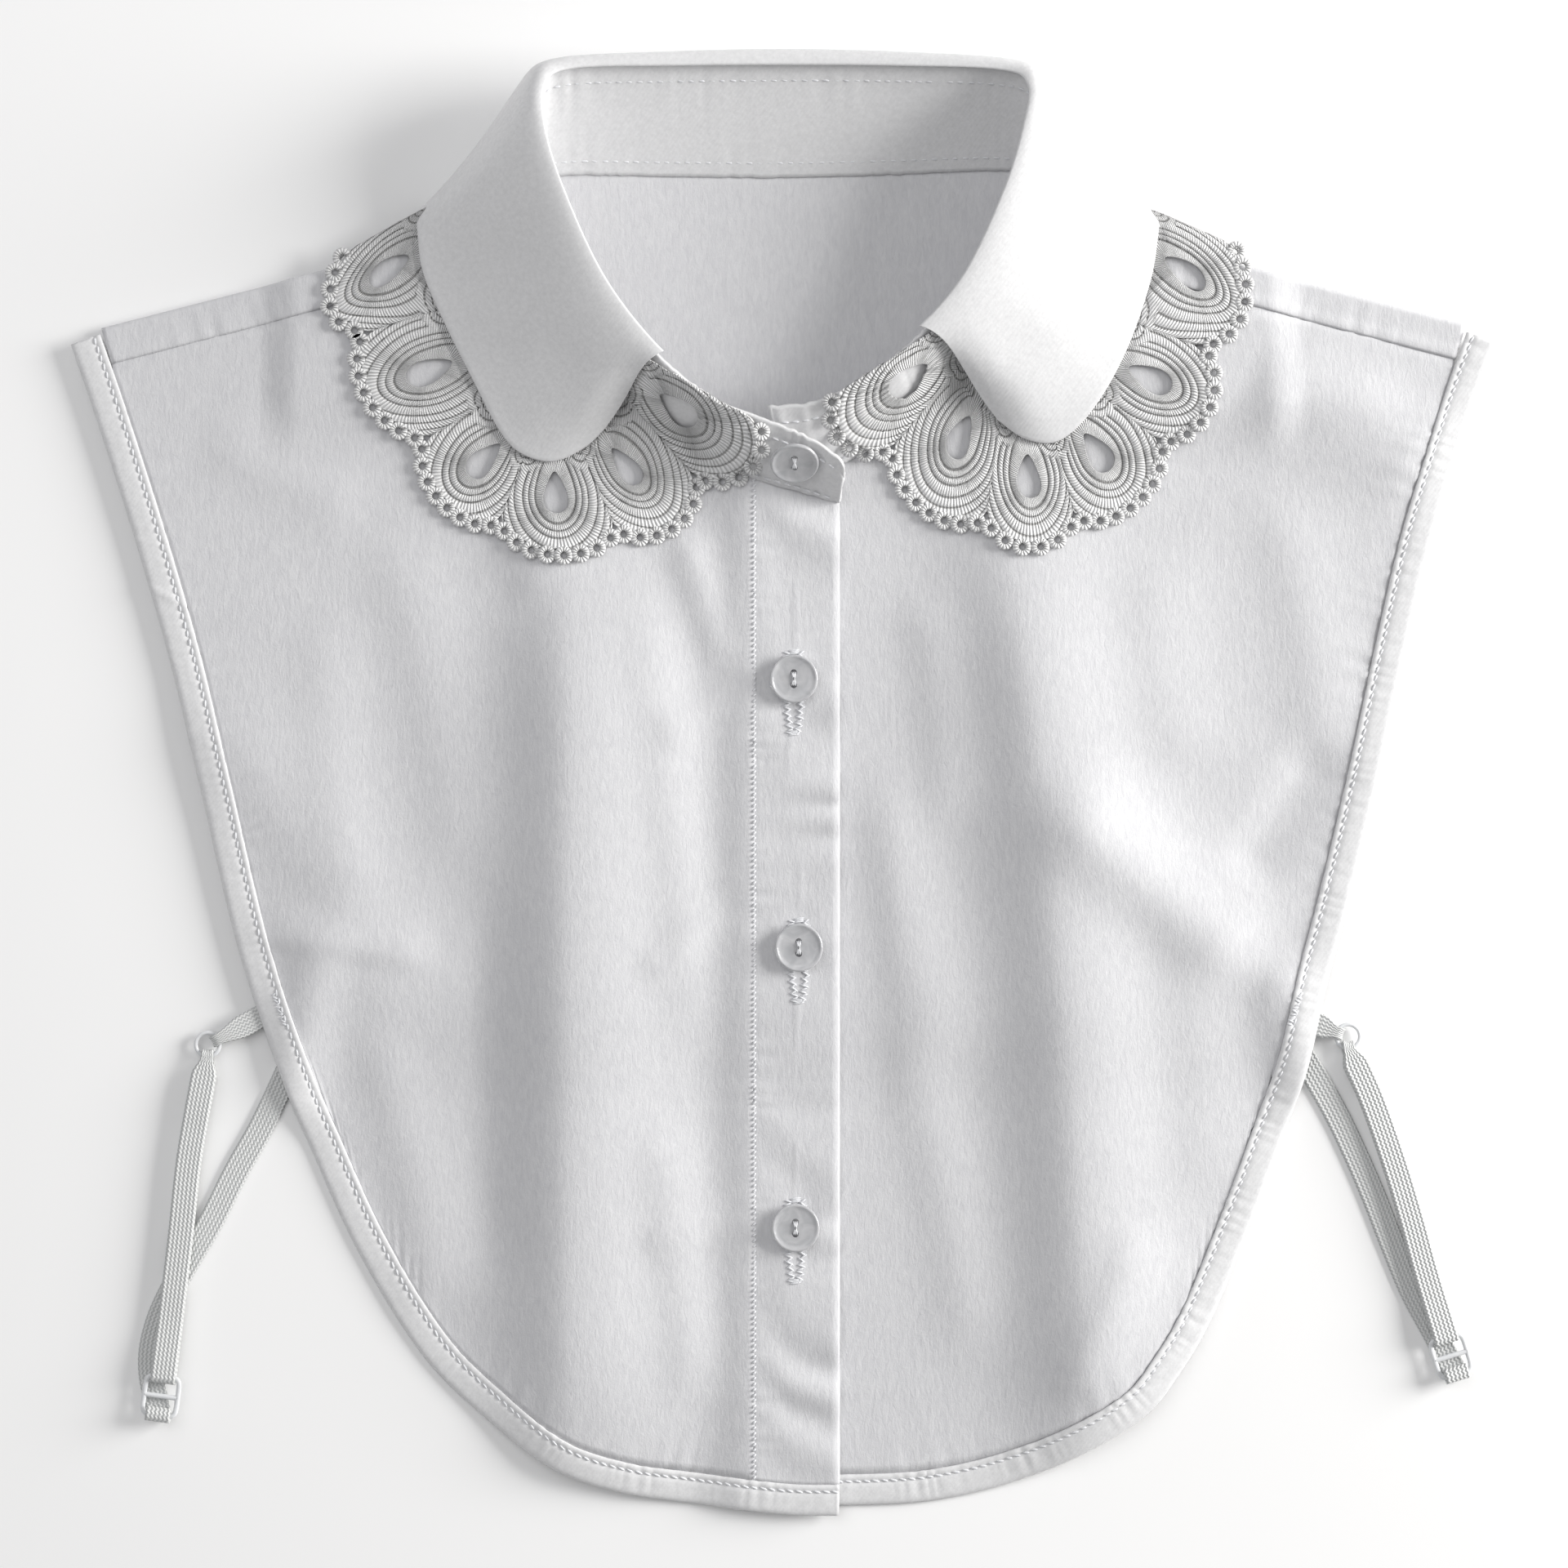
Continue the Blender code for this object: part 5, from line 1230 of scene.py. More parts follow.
class Scallop:
    """One scallop of a run: places in it are p, along the leaf's edge, and r, from the edge outwards."""

    def __init__(self, name, boundary, one, two):
        self.name, self.one, self.two = name, one, two
        self.edge, self.level = boundary
        self.ends = [int(np.argmin(((self.edge[:, :2] - row[:2]) ** 2).sum(axis=1))) for row in (one, two)]
        self.valleys = np.array(one[2:4]), np.array(two[2:4])
        a, b = (self.edge[end, :2] for end in self.ends)
        depth = (np.linalg.norm(self.valleys[0] - a) + np.linalg.norm(self.valleys[1] - b)) / 2
        width = (np.linalg.norm(self.valleys[1] - self.valleys[0]) + np.linalg.norm(b - a)) / 2
        self.size = np.array([width, depth])
        self.centre = np.array([0.5, TEARDROP_PLACE])

    def place(self, p, r):
        """World points of places in the scallop, on the lace's underside."""
        edge, name = self.edge, self.name
        at = self.ends[0] + p * (self.ends[1] - self.ends[0])
        on_edge = np.stack([np.interp(at, np.arange(len(edge)), edge[:, k]) for k in range(3)], axis=-1)
        chord = self.valleys[0] + (self.valleys[1] - self.valleys[0]) * p[..., None]
        away = chord - on_edge[..., :2]
        away /= np.linalg.norm(away, axis=-1)[..., None]
        bulge = SCALLOP_BULGE * np.sin(math.pi * np.clip(p, 0, 1)) ** 0.65
        start = on_edge[..., :2] + away * LACE_START[name]
        plan = start + (chord + away * bulge[..., None] - start) * r[..., None]
        x, y = plan[..., 0], plan[..., 1]
        here = self.lies(x, y, r)
        front_side = front_height(x, y) + CLOTH / 2 + 0.12
        edge_level = np.interp(at, np.arange(len(self.level)), self.level)
        on_table = on_edge[..., 2] + LACE_WALL - WALL / 2
        edge_z = on_table + (front_side - on_table) * edge_level
        resting = LACE_WALL + (front_side - LACE_WALL) * here
        z = edge_z + (resting - edge_z) * np.clip(r * (3 if name == "lace_back" else 1), 0, 1)
        if name != "lace_back":
            clear = over_stand(x, y, *((0, 6) if name == "lace_left" else (16, 21)))
            z = np.where(here > 0.99, np.maximum(np.maximum(z, clear), front_side), z)
        return np.stack([x, y, z], axis=-1)

    def lies(self, x, y, r):
        """1 where the lace lies on the fronts, 0 where it lies on the table, between them round the fold."""
        apex = 1.0 if self.two[4] == 0.5 else 0.0 if self.one[4] == 0.5 else None
        if apex is None:
            return np.full_like(x, self.one[4])
        side = 1 if apex else 0
        start = self.edge[self.ends[side]][None, None, :2]
        fold_end = start * (1 - r[..., None]) + self.valleys[side] * r[..., None]
        reach = np.maximum(past_fold(fold_end[..., 0], fold_end[..., 1]), 0.5)
        beyond = np.maximum(past_fold(x, y), 0)
        turn = np.sqrt(np.clip(1 - (beyond / reach) ** 2, 0, 1))
        return 0.5 + (0.5 if self.name != "lace_back" else -0.5) * turn


def scallop_rim(along, side, round_end):
    """The edge of one scallop in its own p, r."""
    t = [np.linspace(0, 1, n, endpoint=False) for n in (along, side, round_end, side)]
    return np.vstack([np.c_[t[0], 0 * t[0]], np.c_[1 + 0 * t[1], t[1]], np.c_[1 - t[2], 1 + 0 * t[2]],
                      np.c_[0 * t[3], 1 - t[3]]])


# %% Lace
PICOT = 1.55                # radius of a picot's thread loop
PICOT_THREAD = 0.8
PICOT_END = 0.66            # from a valley to the first picot, as a share of the step
PICOT_STEP = 4.4            # from one picot to the next
BAND_EDGES = (-1.4, 2.4, 3.9, 5.4, 7.9, 10.0, 12.1, 14.2, 16.3, 18.4)  # of the bands, in mm from the teardrop
GUSSET = 6.4                # radius of the nest of arcs beside the leaf


def band_count(distance):
    """How many stitched bands lie within a distance of the teardrop, with its fraction."""
    return np.interp(distance, BAND_EDGES, np.arange(len(BAND_EDGES)))


def lace_relief(p, r, size):
    """Height over the web, and count of bands, of places in a scallop of a size in mm.

    Each band is a flat cord with a narrow groove after it: |sin(pi count)|^0.35.
    """
    u, v = (p - 0.5) * size[0], r * size[1]
    half, long = TEARDROP_HALF
    w = v - TEARDROP_PLACE * size[1]
    reach = np.hypot(u, w)
    ratio = np.maximum(np.hypot(u / half, w / long), 1.0)
    below = reach * (1 - 1 / ratio)
    above = np.abs(u) - half * np.sqrt(np.clip(1 - (w / (1.7 * long)) ** 2, 0, 1))
    distance = np.maximum(np.where(w > 0, below, above), 0.0)
    corner = np.hypot(size[0] / 2 - np.abs(u), v)
    count = np.where(corner < GUSSET, band_count(corner + 0.6), band_count(distance))
    return BAND_HIGH * np.abs(np.sin(math.pi * count)) ** 0.35, count


def shorten(scallop, p, r):
    """Draws r in, so that the picots fit between the web and the lace's edge."""
    chord = scallop.valleys[0] + (scallop.valleys[1] - scallop.valleys[0]) * p[..., None]
    at = scallop.ends[0] + p * (scallop.ends[1] - scallop.ends[0])
    on_edge = np.stack([np.interp(at, np.arange(len(scallop.edge)), scallop.edge[:, k]) for k in (0, 1)], axis=-1)
    length = np.linalg.norm(chord - on_edge, axis=-1) + SCALLOP_BULGE * np.sin(math.pi * np.clip(p, 0, 1)) ** 0.65
    return r * (1 - (PICOT + PICOT_THREAD + 0.9) / length)


def scallop_web(scallop, detail, rings):
    """Points and thread map of one scallop's web: rings from the teardrop to the rim."""
    rim = scallop_rim(*detail)
    aim = (rim - scallop.centre) * scallop.size
    angle = np.arctan2(aim[:, 1], aim[:, 0])
    half = np.array(TEARDROP_HALF) / scallop.size
    hole = scallop.centre + np.c_[half[0] * np.cos(angle) * (1 + 0.4 * np.sin(angle)), half[1] * np.sin(angle)]
    inner = hole + (rim - hole) * np.linspace(0, 1, rings)[:, None, None]
    inner = np.concatenate([inner, inner[:, :1]], axis=1)
    p, r = inner[..., 0], inner[..., 1]
    points = scallop.place(p, shorten(scallop, p, r))
    high, count = lace_relief(p, r, scallop.size)
    points[..., 2] += LACE_BASE + high * (0.3 + 0.7 * smooth(2.0, 4.5, r * scallop.size[1]))
    steps = np.linalg.norm(np.diff(points[..., :2], axis=1), axis=2)
    arc = np.r_[0, np.cumsum(steps[int(0.6 * rings)])]
    return points, np.stack([arc + 0 * count, count], axis=-1)


def picots(scallop, around=14, across=6):
    """Thread loops along the scallop's outer curve: tori that touch each other."""
    p = np.linspace(0, 1, 160)[None]
    outer = scallop.place(p, 1 - 0 * p)[0]
    at = np.r_[0, np.cumsum(np.linalg.norm(np.diff(outer[:, :2], axis=0), axis=1))]
    count = max(int(at[-1] / PICOT_STEP), 3)
    place = PICOT_END + np.arange(count) * (count - 2 * PICOT_END) / (count - 1)
    where = np.interp(place / count * at[-1], at, p[0])[None]
    rim = scallop.place(where, 1 - 0 * where)[0]
    base = scallop.place(where, shorten(scallop, where, 1 + 0 * where))[0]
    inward = base - rim
    inward /= np.linalg.norm(inward, axis=1)[:, None]
    centre = rim + inward * (PICOT + PICOT_THREAD - 0.2)
    side = np.c_[-inward[:, 1], inward[:, 0], 0 * inward[:, 0]]
    a, b = np.meshgrid(np.linspace(0, math.tau, around, endpoint=False),
                       np.linspace(0, math.tau, across, endpoint=False), indexing="ij")
    ring = PICOT + PICOT_THREAD * np.cos(b)
    flat = ((ring * np.cos(a))[None, ..., None] * inward[:, None, None]
            + (ring * np.sin(a))[None, ..., None] * side[:, None, None])
    points = centre[:, None, None] + flat
    points[..., 2] += LACE_BASE / 2 + PICOT_THREAD * 0.75 * (1 + np.sin(b))[None]
    uv = np.broadcast_to(np.stack([a * PICOT, 0.5 + 0 * b], axis=-1)[None], (count, around, across, 2))
    return points, uv


def torus_faces(around, across, start=0):
    """Quads of a grid that closes both ways."""
    index = start + np.arange(around * across).reshape(around, across)
    index = np.pad(index, ((0, 1), (0, 1)), mode="wrap")
    return np.stack([index[:-1, :-1], index[1:, :-1], index[1:, 1:], index[:-1, 1:]], axis=-1).reshape(-1, 4)


def lace(name, detail, rings, loops=(22, 6)):
    """A run of guipure: webs welded to each other, and their picots as a second mesh on the same node."""
    boundary = leaf_boundary(name)
    rows = LACE[name]
    points, uvs, faces, count = [], [], [], 0
    loop_points, loop_uvs, loop_faces, loop_count = [], [], [], 0
    for one, two in zip(rows[:-1], rows[1:]):
        scallop = Scallop(name, boundary, one, two)
        web, uv = scallop_web(scallop, detail, rings)
        faces.append(face_up(web, grid_faces(*web.shape[:2])) + count)
        points.append(web.reshape(-1, 3))
        uvs.append(uv.reshape(-1, 2))
        count += web.shape[0] * web.shape[1]
        tori, torus_uv = picots(scallop, *loops)
        for ring in range(len(tori)):
            loop_faces.append(torus_faces(*loops, loop_count))
            loop_count += loops[0] * loops[1]
        loop_points.append(tori.reshape(-1, 3))
        loop_uvs.append(torus_uv.reshape(-1, 2))
    web = mesh_piece(name, np.vstack(points), np.vstack(faces), GUIPURE, np.vstack(uvs))
    merge(web, 0.05, up=name != "lace_back")
    wall(web, LACE_BASE, -1.0)
    edge = mesh_piece(f"{name}_picots", np.vstack(loop_points), np.vstack(loop_faces), GUIPURE, np.vstack(loop_uvs))
    merge(edge, 0.001, up=False)
    return web, edge


lace_left, picots_left = lace("lace_left", (28, 24, 36), 38)
lace_right, picots_right = lace("lace_right", (28, 24, 36), 38)
lace_back, picots_back = lace("lace_back", (14, 10, 16), 12, (10, 5))
print("lace", [len(piece.data.polygons) for piece in (lace_left, lace_right, lace_back)])

# %% [markdown]
# Buttons
#
# A small turned resin button with a raised rim and two holes, one above the other, sewn on with
# thread that shows in the dish between the holes. A profile is turned about its axis, and the holes
# are cut with cylinders.

# %% Buttons
BUTTON_HOLE = 0.8
HOLE_APART = 1.5            # of a hole's centre from the button's


def turned(profile, steps):
    """Points and quads of a profile of radius and height turned about Z, with its poles welded later."""
    angle = np.linspace(0, math.tau, steps, endpoint=False)[:, None]
    radius, high = np.asarray(profile, float).T
    points = np.dstack([radius * np.cos(angle), radius * np.sin(angle), high + 0 * angle])
    return points, grid_faces(steps, len(profile), closed=True)


def axis_turn(axis):
    """Rotation from Z to an axis."""
    return mathutils.Vector((0, 0, 1)).rotation_difference(mathutils.Vector([float(c) for c in axis]))


def cylinder(radius, low, high, turn, centre, at, sides=18):
    """A cylinder for a boolean cut, in world places."""
    shape = bmesh.new()
    bmesh.ops.create_cone(shape, cap_ends=True, segments=sides, radius1=radius * MM, radius2=radius * MM,
                          depth=(high - low) * MM)
    place = mathutils.Matrix.Translation(mathutils.Vector((at[0] * MM, at[1] * MM, (low + high) / 2 * MM)))
    spin = mathutils.Matrix.Translation(mathutils.Vector([float(c) * MM for c in centre])) @ turn.to_matrix().to_4x4()
    shape.transform(spin @ place)
    mesh = bpy.data.meshes.new("drill")
    shape.to_mesh(mesh)
    shape.free()
    return bpy.data.objects.new("drill", mesh)


def button(name, centre, axis=(0.0, 0.0, 1.0)):
    """The turned disc with its two holes."""
    r, t = BUTTON_RADIUS, BUTTON_THICKNESS / 2
    profile = [(0, 0.12 * t), (r * 0.4, 0.12 * t), (r * 0.72, 0.16 * t), (r * 0.82, 0.26 * t), (r * 0.87, 0.42 * t),
               (r * 0.91, 0.52 * t), (r * 0.95, 0.5 * t), (r * 0.985, 0.34 * t), (r, 0.08 * t),
               (r * 0.99, -0.2 * t), (r * 0.93, -0.55 * t), (r * 0.75, -0.85 * t), (r * 0.4, -t), (0, -t)]
    points, faces = turned(profile, 64)
    turn = axis_turn(axis)
    spin = np.array(turn.to_matrix())
    points = points.reshape(-1, 3) @ spin.T + np.asarray(centre)
    made = mesh_piece(name, points, faces, RESIN)
    merge(made, 0.005, up=False)
    for sign in (-1, 1):
        drill = cylinder(BUTTON_HOLE, -4, 4, turn, centre, (0, sign * HOLE_APART))
        bpy.context.scene.collection.objects.link(drill)
        cut = made.modifiers.new("Hole", "BOOLEAN")
        cut.operation = "DIFFERENCE"
        cut.object = drill
        with bpy.context.temp_override(object=made, active_object=made):
            bpy.ops.object.modifier_apply(modifier=cut.name)
        bpy.data.objects.remove(drill, do_unlink=True)
    made.data.set_sharp_from_angle(angle=math.radians(40))
    return made


def collar_button_place():
    """Centre and axis of the button on the left end of the stand, leaning as the stand does."""
    foot, top = (point[0] for point in stand_rows(np.array([COLLAR_BUTTON["row"]])))
    up = (top - foot) / np.linalg.norm(top - foot)
    face = np.cross(np.array([1.0, 0.0, 0.0]), up)
    face *= -np.sign(face[1]) / np.linalg.norm(face)
    out = WALL / 2 + STAND_BULGE + 3 * GAP + BUTTON_THICKNESS / 2
    return foot + (top - foot) * COLLAR_BUTTON["share"] + face * out, face


button_pieces = []
button_tops = []
for name, (x, y) in BUTTONS.items():
    top = float(placket_height(np.array([x]), np.array([y]))[0]) + PLACKET_WALL / 2
    centre = np.array([x, y, top + GAP + BUTTON_THICKNESS / 2])
    button_pieces.append(button(name, centre))
    button_tops.append((centre, np.array([0.0, 0.0, 1.0])))
button_pieces.append(button("button_collar", *collar_button_place()))
button_tops.append(collar_button_place())
print("buttons", len(button_pieces))


# %% [markdown]
# Sewing
#
# Stitches are short capsules of thread laid along a line on the cloth, each sunk at its ends. They
# could be a texture, but as forms they catch the side light. One function places all stitches of
# many lines at once. Buttonholes are two columns of stitches across the slit and a bar at each end.

# %% Stitches
THREAD_RADIUS = 0.27
STITCH = 1.9
STITCH_GAP = 0.3
SLANT = 0.22                # of a stitch's ends to either side of its line
ROPE = (0.95, 0.4, 0.4)      # stitch, gap and slant of the close row on the placket's edge


def capsules(start, end, up, radius, arch=0.12, sections=6, around=6):
    """Rounded threads from start to end: radius * sqrt(1 - t^4) about an arched middle line."""
    t = np.linspace(-1, 1, sections)[None, :, None, None]
    angle = (np.linspace(0, math.tau, around, endpoint=False))[None, None, :, None]
    middle, half = (start + end) / 2, (end - start) / 2
    side = np.cross(half, up)
    side /= np.linalg.norm(side, axis=1)[:, None]
    high = np.cross(side, half)
    high /= np.linalg.norm(high, axis=1)[:, None]
    middle, half, side, high = (v[:, None, None] for v in (middle, half, side, high))
    thick = radius * np.sqrt(np.clip(1.02 - t**4, 0, 1))
    points = middle + half * t + side * thick * np.cos(angle) + high * (thick * np.sin(angle) + arch * (1 - t**2))
    index = np.arange(sections * around).reshape(sections, around)
    index = np.hstack([index, index[:, :1]])
    one = np.stack([index[:-1, :-1], index[:-1, 1:], index[1:, 1:], index[1:, :-1]], axis=-1).reshape(-1, 4)
    faces = one[None] + (np.arange(len(start)) * sections * around)[:, None, None]
    return points.reshape(-1, 3), faces.reshape(-1, 4)


def stitch_line(path, length, gap, slant):
    """Start and end of each stitch along a line of x, y, z."""
    at = np.r_[0, np.cumsum(np.linalg.norm(np.diff(path, axis=0), axis=1))]
    count = int(at[-1] / (length + gap))
    first = (np.arange(count) + 0.15) * at[-1] / count
    last = first + length * (0.96 + 0.06 * np.sin(np.arange(count) * 2.7))
    ends = [np.stack([np.interp(where, at, path[:, k]) for k in range(3)], axis=1) for where in (first, last)]
    side = sideways(ends[0]) * slant
    ends[0][:, :2] -= side
    ends[1][:, :2] += side
    return ends


def sew(name, *rows):
    """One mesh of all the stitches of several rows: a line, and its stitches' length, gap and slant."""
    ends = [stitch_line(*row) for row in rows]
    start, end = (np.vstack([pair[k] for pair in ends]) for k in (0, 1))
    points, faces = capsules(start, end, np.broadcast_to(np.array([0.0, 0.0, 1.0]), start.shape), THREAD_RADIUS)
    return mesh_piece(name, points, faces, THREAD)


def binding_line(side, offset=5.6, count=900):
    """The stitch line on a binding."""
    mirror = 1 if side == "left" else -1
    path = curve(outline(side), count)
    flat = path - sideways(path) * mirror * offset
    z = left_side_height(flat[:, 0], flat[:, 1]) if side == "left" else front_right_height(flat[:, 0], flat[:, 1])
    wave = uneven(np.r_[0, np.cumsum(np.linalg.norm(np.diff(path, axis=0), axis=1))], 3.6, 1.0)
    return np.c_[flat, np.maximum(z, LOWEST) + (BINDING_WALL - WALL) / 2 + BINDING_CLOTH / 2 + 0.02 + 0.05 * wave]


def placket_line(offset=0.15, count=400):
    """The stitch line along the placket's left edge."""
    plan = placket_plan(3, count)
    y = plan[:, 0, 1]
    x = np.full(count, PLACKET_LEFT_X + offset)
    z = placket_height(x, y) + button_pull(x, y) + placket_waves(x, y) + PLACKET_CLOTH / 2 + 0.02
    return np.c_[x, y, z]


def stand_line(q, face, first=0.2, last=20.8, count=1200):
    """A stitch line on the stand's outer, 1, or inner, -1, face."""
    points = stand_points(np.linspace(first, last, count), [q])[:, 0]
    points[:, :2] -= sideways(points) * face * (LEAF_CLOTH / 2 + 0.24)
    return points


bib_rows = [(binding_line(side), STITCH, STITCH_GAP, SLANT) for side in ("left", "right")]
sewing_bib = sew("stitches_bib", *bib_rows, (placket_line(), *ROPE))
stand_rows_sewn = [(stand_line(q, face), STITCH, 0.6, 0.05) for q in (0.13, 0.83) for face in (-1, 1)]
sewing_stand = sew("stitches_stand", *stand_rows_sewn)
print("stitches", [len(piece.data.polygons) // 30 for piece in (sewing_bib, sewing_stand)])


# %% Buttonholes, button threads and bar tacks
SLIT = (-13.2, 6.6)         # of a buttonhole, from the button's centre
LEG_STEP = 0.75             # from one zigzag stitch to the next


def buttonhole(x, y):
    """Starts and ends of the stitches of one vertical buttonhole: two rough zigzag legs that close downwards."""
    down = np.arange(SLIT[0], SLIT[1], LEG_STEP)
    number = np.arange(len(down))
    open_ = smooth(SLIT[0], SLIT[0] + 8, down)
    start, end = [], []
    for sign in (-1, 1):
        inner = 0.1 + 0.8 * open_ + 0.15 * np.sin(number * 3.1 + sign)
        outer = 1.9 + 0.8 * open_ + 0.25 * np.sin(number * 4.3 - sign)
        lean = 0.45 * np.cos(number * math.pi) + 0.2 * np.sin(number * 2.4 + sign)
        start.append(np.c_[x + sign * inner, y + down - lean])
        end.append(np.c_[x + sign * outer, y + down + lean])
    for edge in SLIT:
        bar = y + edge + np.linspace(-0.4, 0.4, 3)
        start.append(np.c_[x - 1.4 + 0 * bar, bar - 0.2])
        end.append(np.c_[x + 1.4 + 0 * bar, bar + 0.2])
    start, end = np.vstack(start), np.vstack(end)
    lift = PLACKET_CLOTH / 2 + 0.1
    return [np.c_[p, placket_height(*p.T) + button_pull(*p.T) + placket_waves(*p.T) + lift] for p in (start, end)]


def button_thread(centre, axis):
    """Four threads that cross from one hole of a button to the other."""
    turn = np.array(axis_turn(axis).to_matrix())
    shift = np.linspace(-0.55, 0.55, 4)
    ends = [np.c_[sign * shift, np.full(4, sign * (HOLE_APART + 0.2)), np.full(4, 0.2)] for sign in (-1, 1)]
    return [p @ turn.T + centre for p in ends]


def bar_tack(x, y0, y1, slope, width=1.5, step=0.8):
    """Close stitches across a short line on the binding."""
    down = np.arange(y0, y1, step)
    along = x + 0.4 * (down - y0) * slope
    lean = 0.5 * np.sin(down * 2.3)
    start, end = (np.c_[along + sign * width / 2, down + sign * lean] for sign in (-1, 1))
    return [np.c_[p, front_height(p[:, 0], p[:, 1]) + BINDING_CLOTH / 2 + 0.3] for p in (start, end)]


def thread_piece(name, pairs, radius, arch=0.1):
    """One mesh of threads from lists of starts and ends."""
    start, end = (np.vstack([pair[k] for pair in pairs]) for k in (0, 1))
    points, faces = capsules(start, end, np.broadcast_to(np.array([0.0, 0.0, 1.0]), start.shape), radius, arch)
    return mesh_piece(name, points, faces, THREAD)


buttonholes = thread_piece("buttonholes", [buttonhole(x, y) for x, y in BUTTONS.values()], 0.24)
button_sewing = thread_piece("button_threads", [button_thread(*place) for place in button_tops], 0.22, 0.25)
bar_tacks = thread_piece("bar_tacks", [bar_tack(-121.6, -58.5, -51.0, -0.9), bar_tack(123.6, -58.5, -51.0, 0.9)], 0.28)

# %% [markdown]
# Straps
#
# On each side an elastic tab holds a small ring. A loop of braided elastic goes through the
# ring and round the slider's upper bar, and a strap from the back panel goes round its lower bar.
# Each strap is a flat band along a route in space, 6 mm wide and narrowed where the ring gathers it.

# %% Straps
RIBS = 13                   # points across a band
IN_RING = 2.8               # width of a band where it turns round the ring
TAB_WIDTH = 5.6
TAB_UNDER = 3.0             # of the tab under the binding


def hairpin(wire, along, level, count=17):
    """Half a turn round a wire, from its upper side to its lower side: x, y, z."""
    wire, along = np.array(wire), np.array(along) / np.linalg.norm(along)
    angle = np.radians(np.linspace(90, -90, count))
    flat = wire + np.cos(angle)[:, None] * BEND_RADIUS * along
    return np.c_[flat, level + BEND_RADIUS * np.sin(angle)]


def band(name, path, width, look, across, cup, closed=False):
    """A flat band along a path of x, y, z, with a width and a sideways direction for each point.

    Where it turns round the ring, cup points to the ring's centre and the band follows the wire's arc.
    """
    offset = np.linspace(-0.5, 0.5, RIBS)
    points = np.repeat(path[:, None], RIBS, axis=1)
    aside = np.asarray(width)[:, None] * offset[None]
    arc = RING_RADIUS - np.sqrt(RING_RADIUS**2 - np.minimum(np.abs(aside), IN_RING / 2) ** 2)
    points[..., :2] += across[:, None] * aside[..., None] + cup[:, None] * arc[..., None]
    at = np.r_[0, np.cumsum(np.linalg.norm(np.diff(path, axis=0), axis=1))]
    uv = np.dstack([(offset * STRAP_WIDTH)[None] + 0 * at[:, None], at[:, None] + 0 * offset[None]])
    faces = grid_faces(len(path), RIBS, closed=closed)
    made = mesh_piece(name, points, faces, look, uv)
    wall(made, BAND_WALL * 0.9)
    return made


def tab(side):
    """The elastic tab from under the binding, folded round the ring."""
    rows = STRAPS[side]
    start, end = (np.array(p) for p in rows["tab"])
    along = (end - start) / np.linalg.norm(end - start)
    wire = np.array(rows["ring"]) - along * RING_RADIUS
    turn = hairpin(wire, along, RING_LEVEL)
    share = np.linspace(0, 0.95, 12)[:, None]
    start = start - along * TAB_UNDER
    above = np.r_[start, 1.5] * (1 - share) + turn[0] * share
    below = (np.r_[start, 0.7] * (1 - share) + turn[-1] * share)[::-1]
    path = np.vstack([above, turn, below])
    narrow = TAB_WIDTH + (IN_RING - TAB_WIDTH) * smooth(0.5, 1, share[:, 0])
    gathered = np.r_[narrow, np.full(len(turn), IN_RING), narrow[::-1]]
    across = np.repeat([[along[1], -along[0]]], len(path), axis=0)
    cup = np.zeros((len(path), 2))
    cup[len(above):len(above) + len(turn)] = along
    return band(f"tab_{side}", path, gathered, ELASTIC, across, cup)


def strap_loop(side, centre, up, edge_bar, count=90):
    """The elastic loop: through the ring, down over the slider's upper bar, and back under itself."""
    rows = STRAPS[side]
    first = np.array(rows["ring"]) + (0, -RING_RADIUS)
    last = centre + up * edge_bar
    route = curve([first] + rows["loop"] + [last], count)
    normal = sideways(route)
    at_ring = hairpin(first, (0, 1), RING_LEVEL)
    at_bar = hairpin(last, -up, SLIDER_LEVEL)
    share = np.linspace(0, 1, count)
    climb = smooth(0, 0.2, share) * (SLIDER_LEVEL - RING_LEVEL)
    upper = np.c_[route, at_ring[0, 2] + climb][1:-1]
    lower = np.c_[route, at_ring[-1, 2] + climb][1:-1]
    squeeze = smooth(0, 0.25, share[1:-1]) * smooth(1, 0.8, share[1:-1])
    upper[:, 2] -= squeeze * (2 * BEND_RADIUS - BAND_WALL - 2 * GAP)
    path = np.vstack([at_ring[::-1], upper, at_bar, lower[::-1]])
    cup = np.zeros((len(path), 2))
    cup[:len(at_ring), 1] = 1
    ring_across = np.repeat([[-1.0, 0.0]], len(at_ring), axis=0)
    bar_across = np.repeat([[-up[1], up[0]]], len(at_bar), axis=0)
    across = np.vstack([ring_across, normal[1:-1], bar_across, normal[1:-1][::-1]])
    width = IN_RING + (STRAP_WIDTH - IN_RING) * smooth(0.0, 0.06, share[1:-1])
    widths = np.r_[np.full(len(at_ring), IN_RING), width, np.full(len(at_bar), STRAP_WIDTH), width[::-1]]
    return band(f"strap_loop_{side}", path, widths, ELASTIC, across, cup, closed=True)


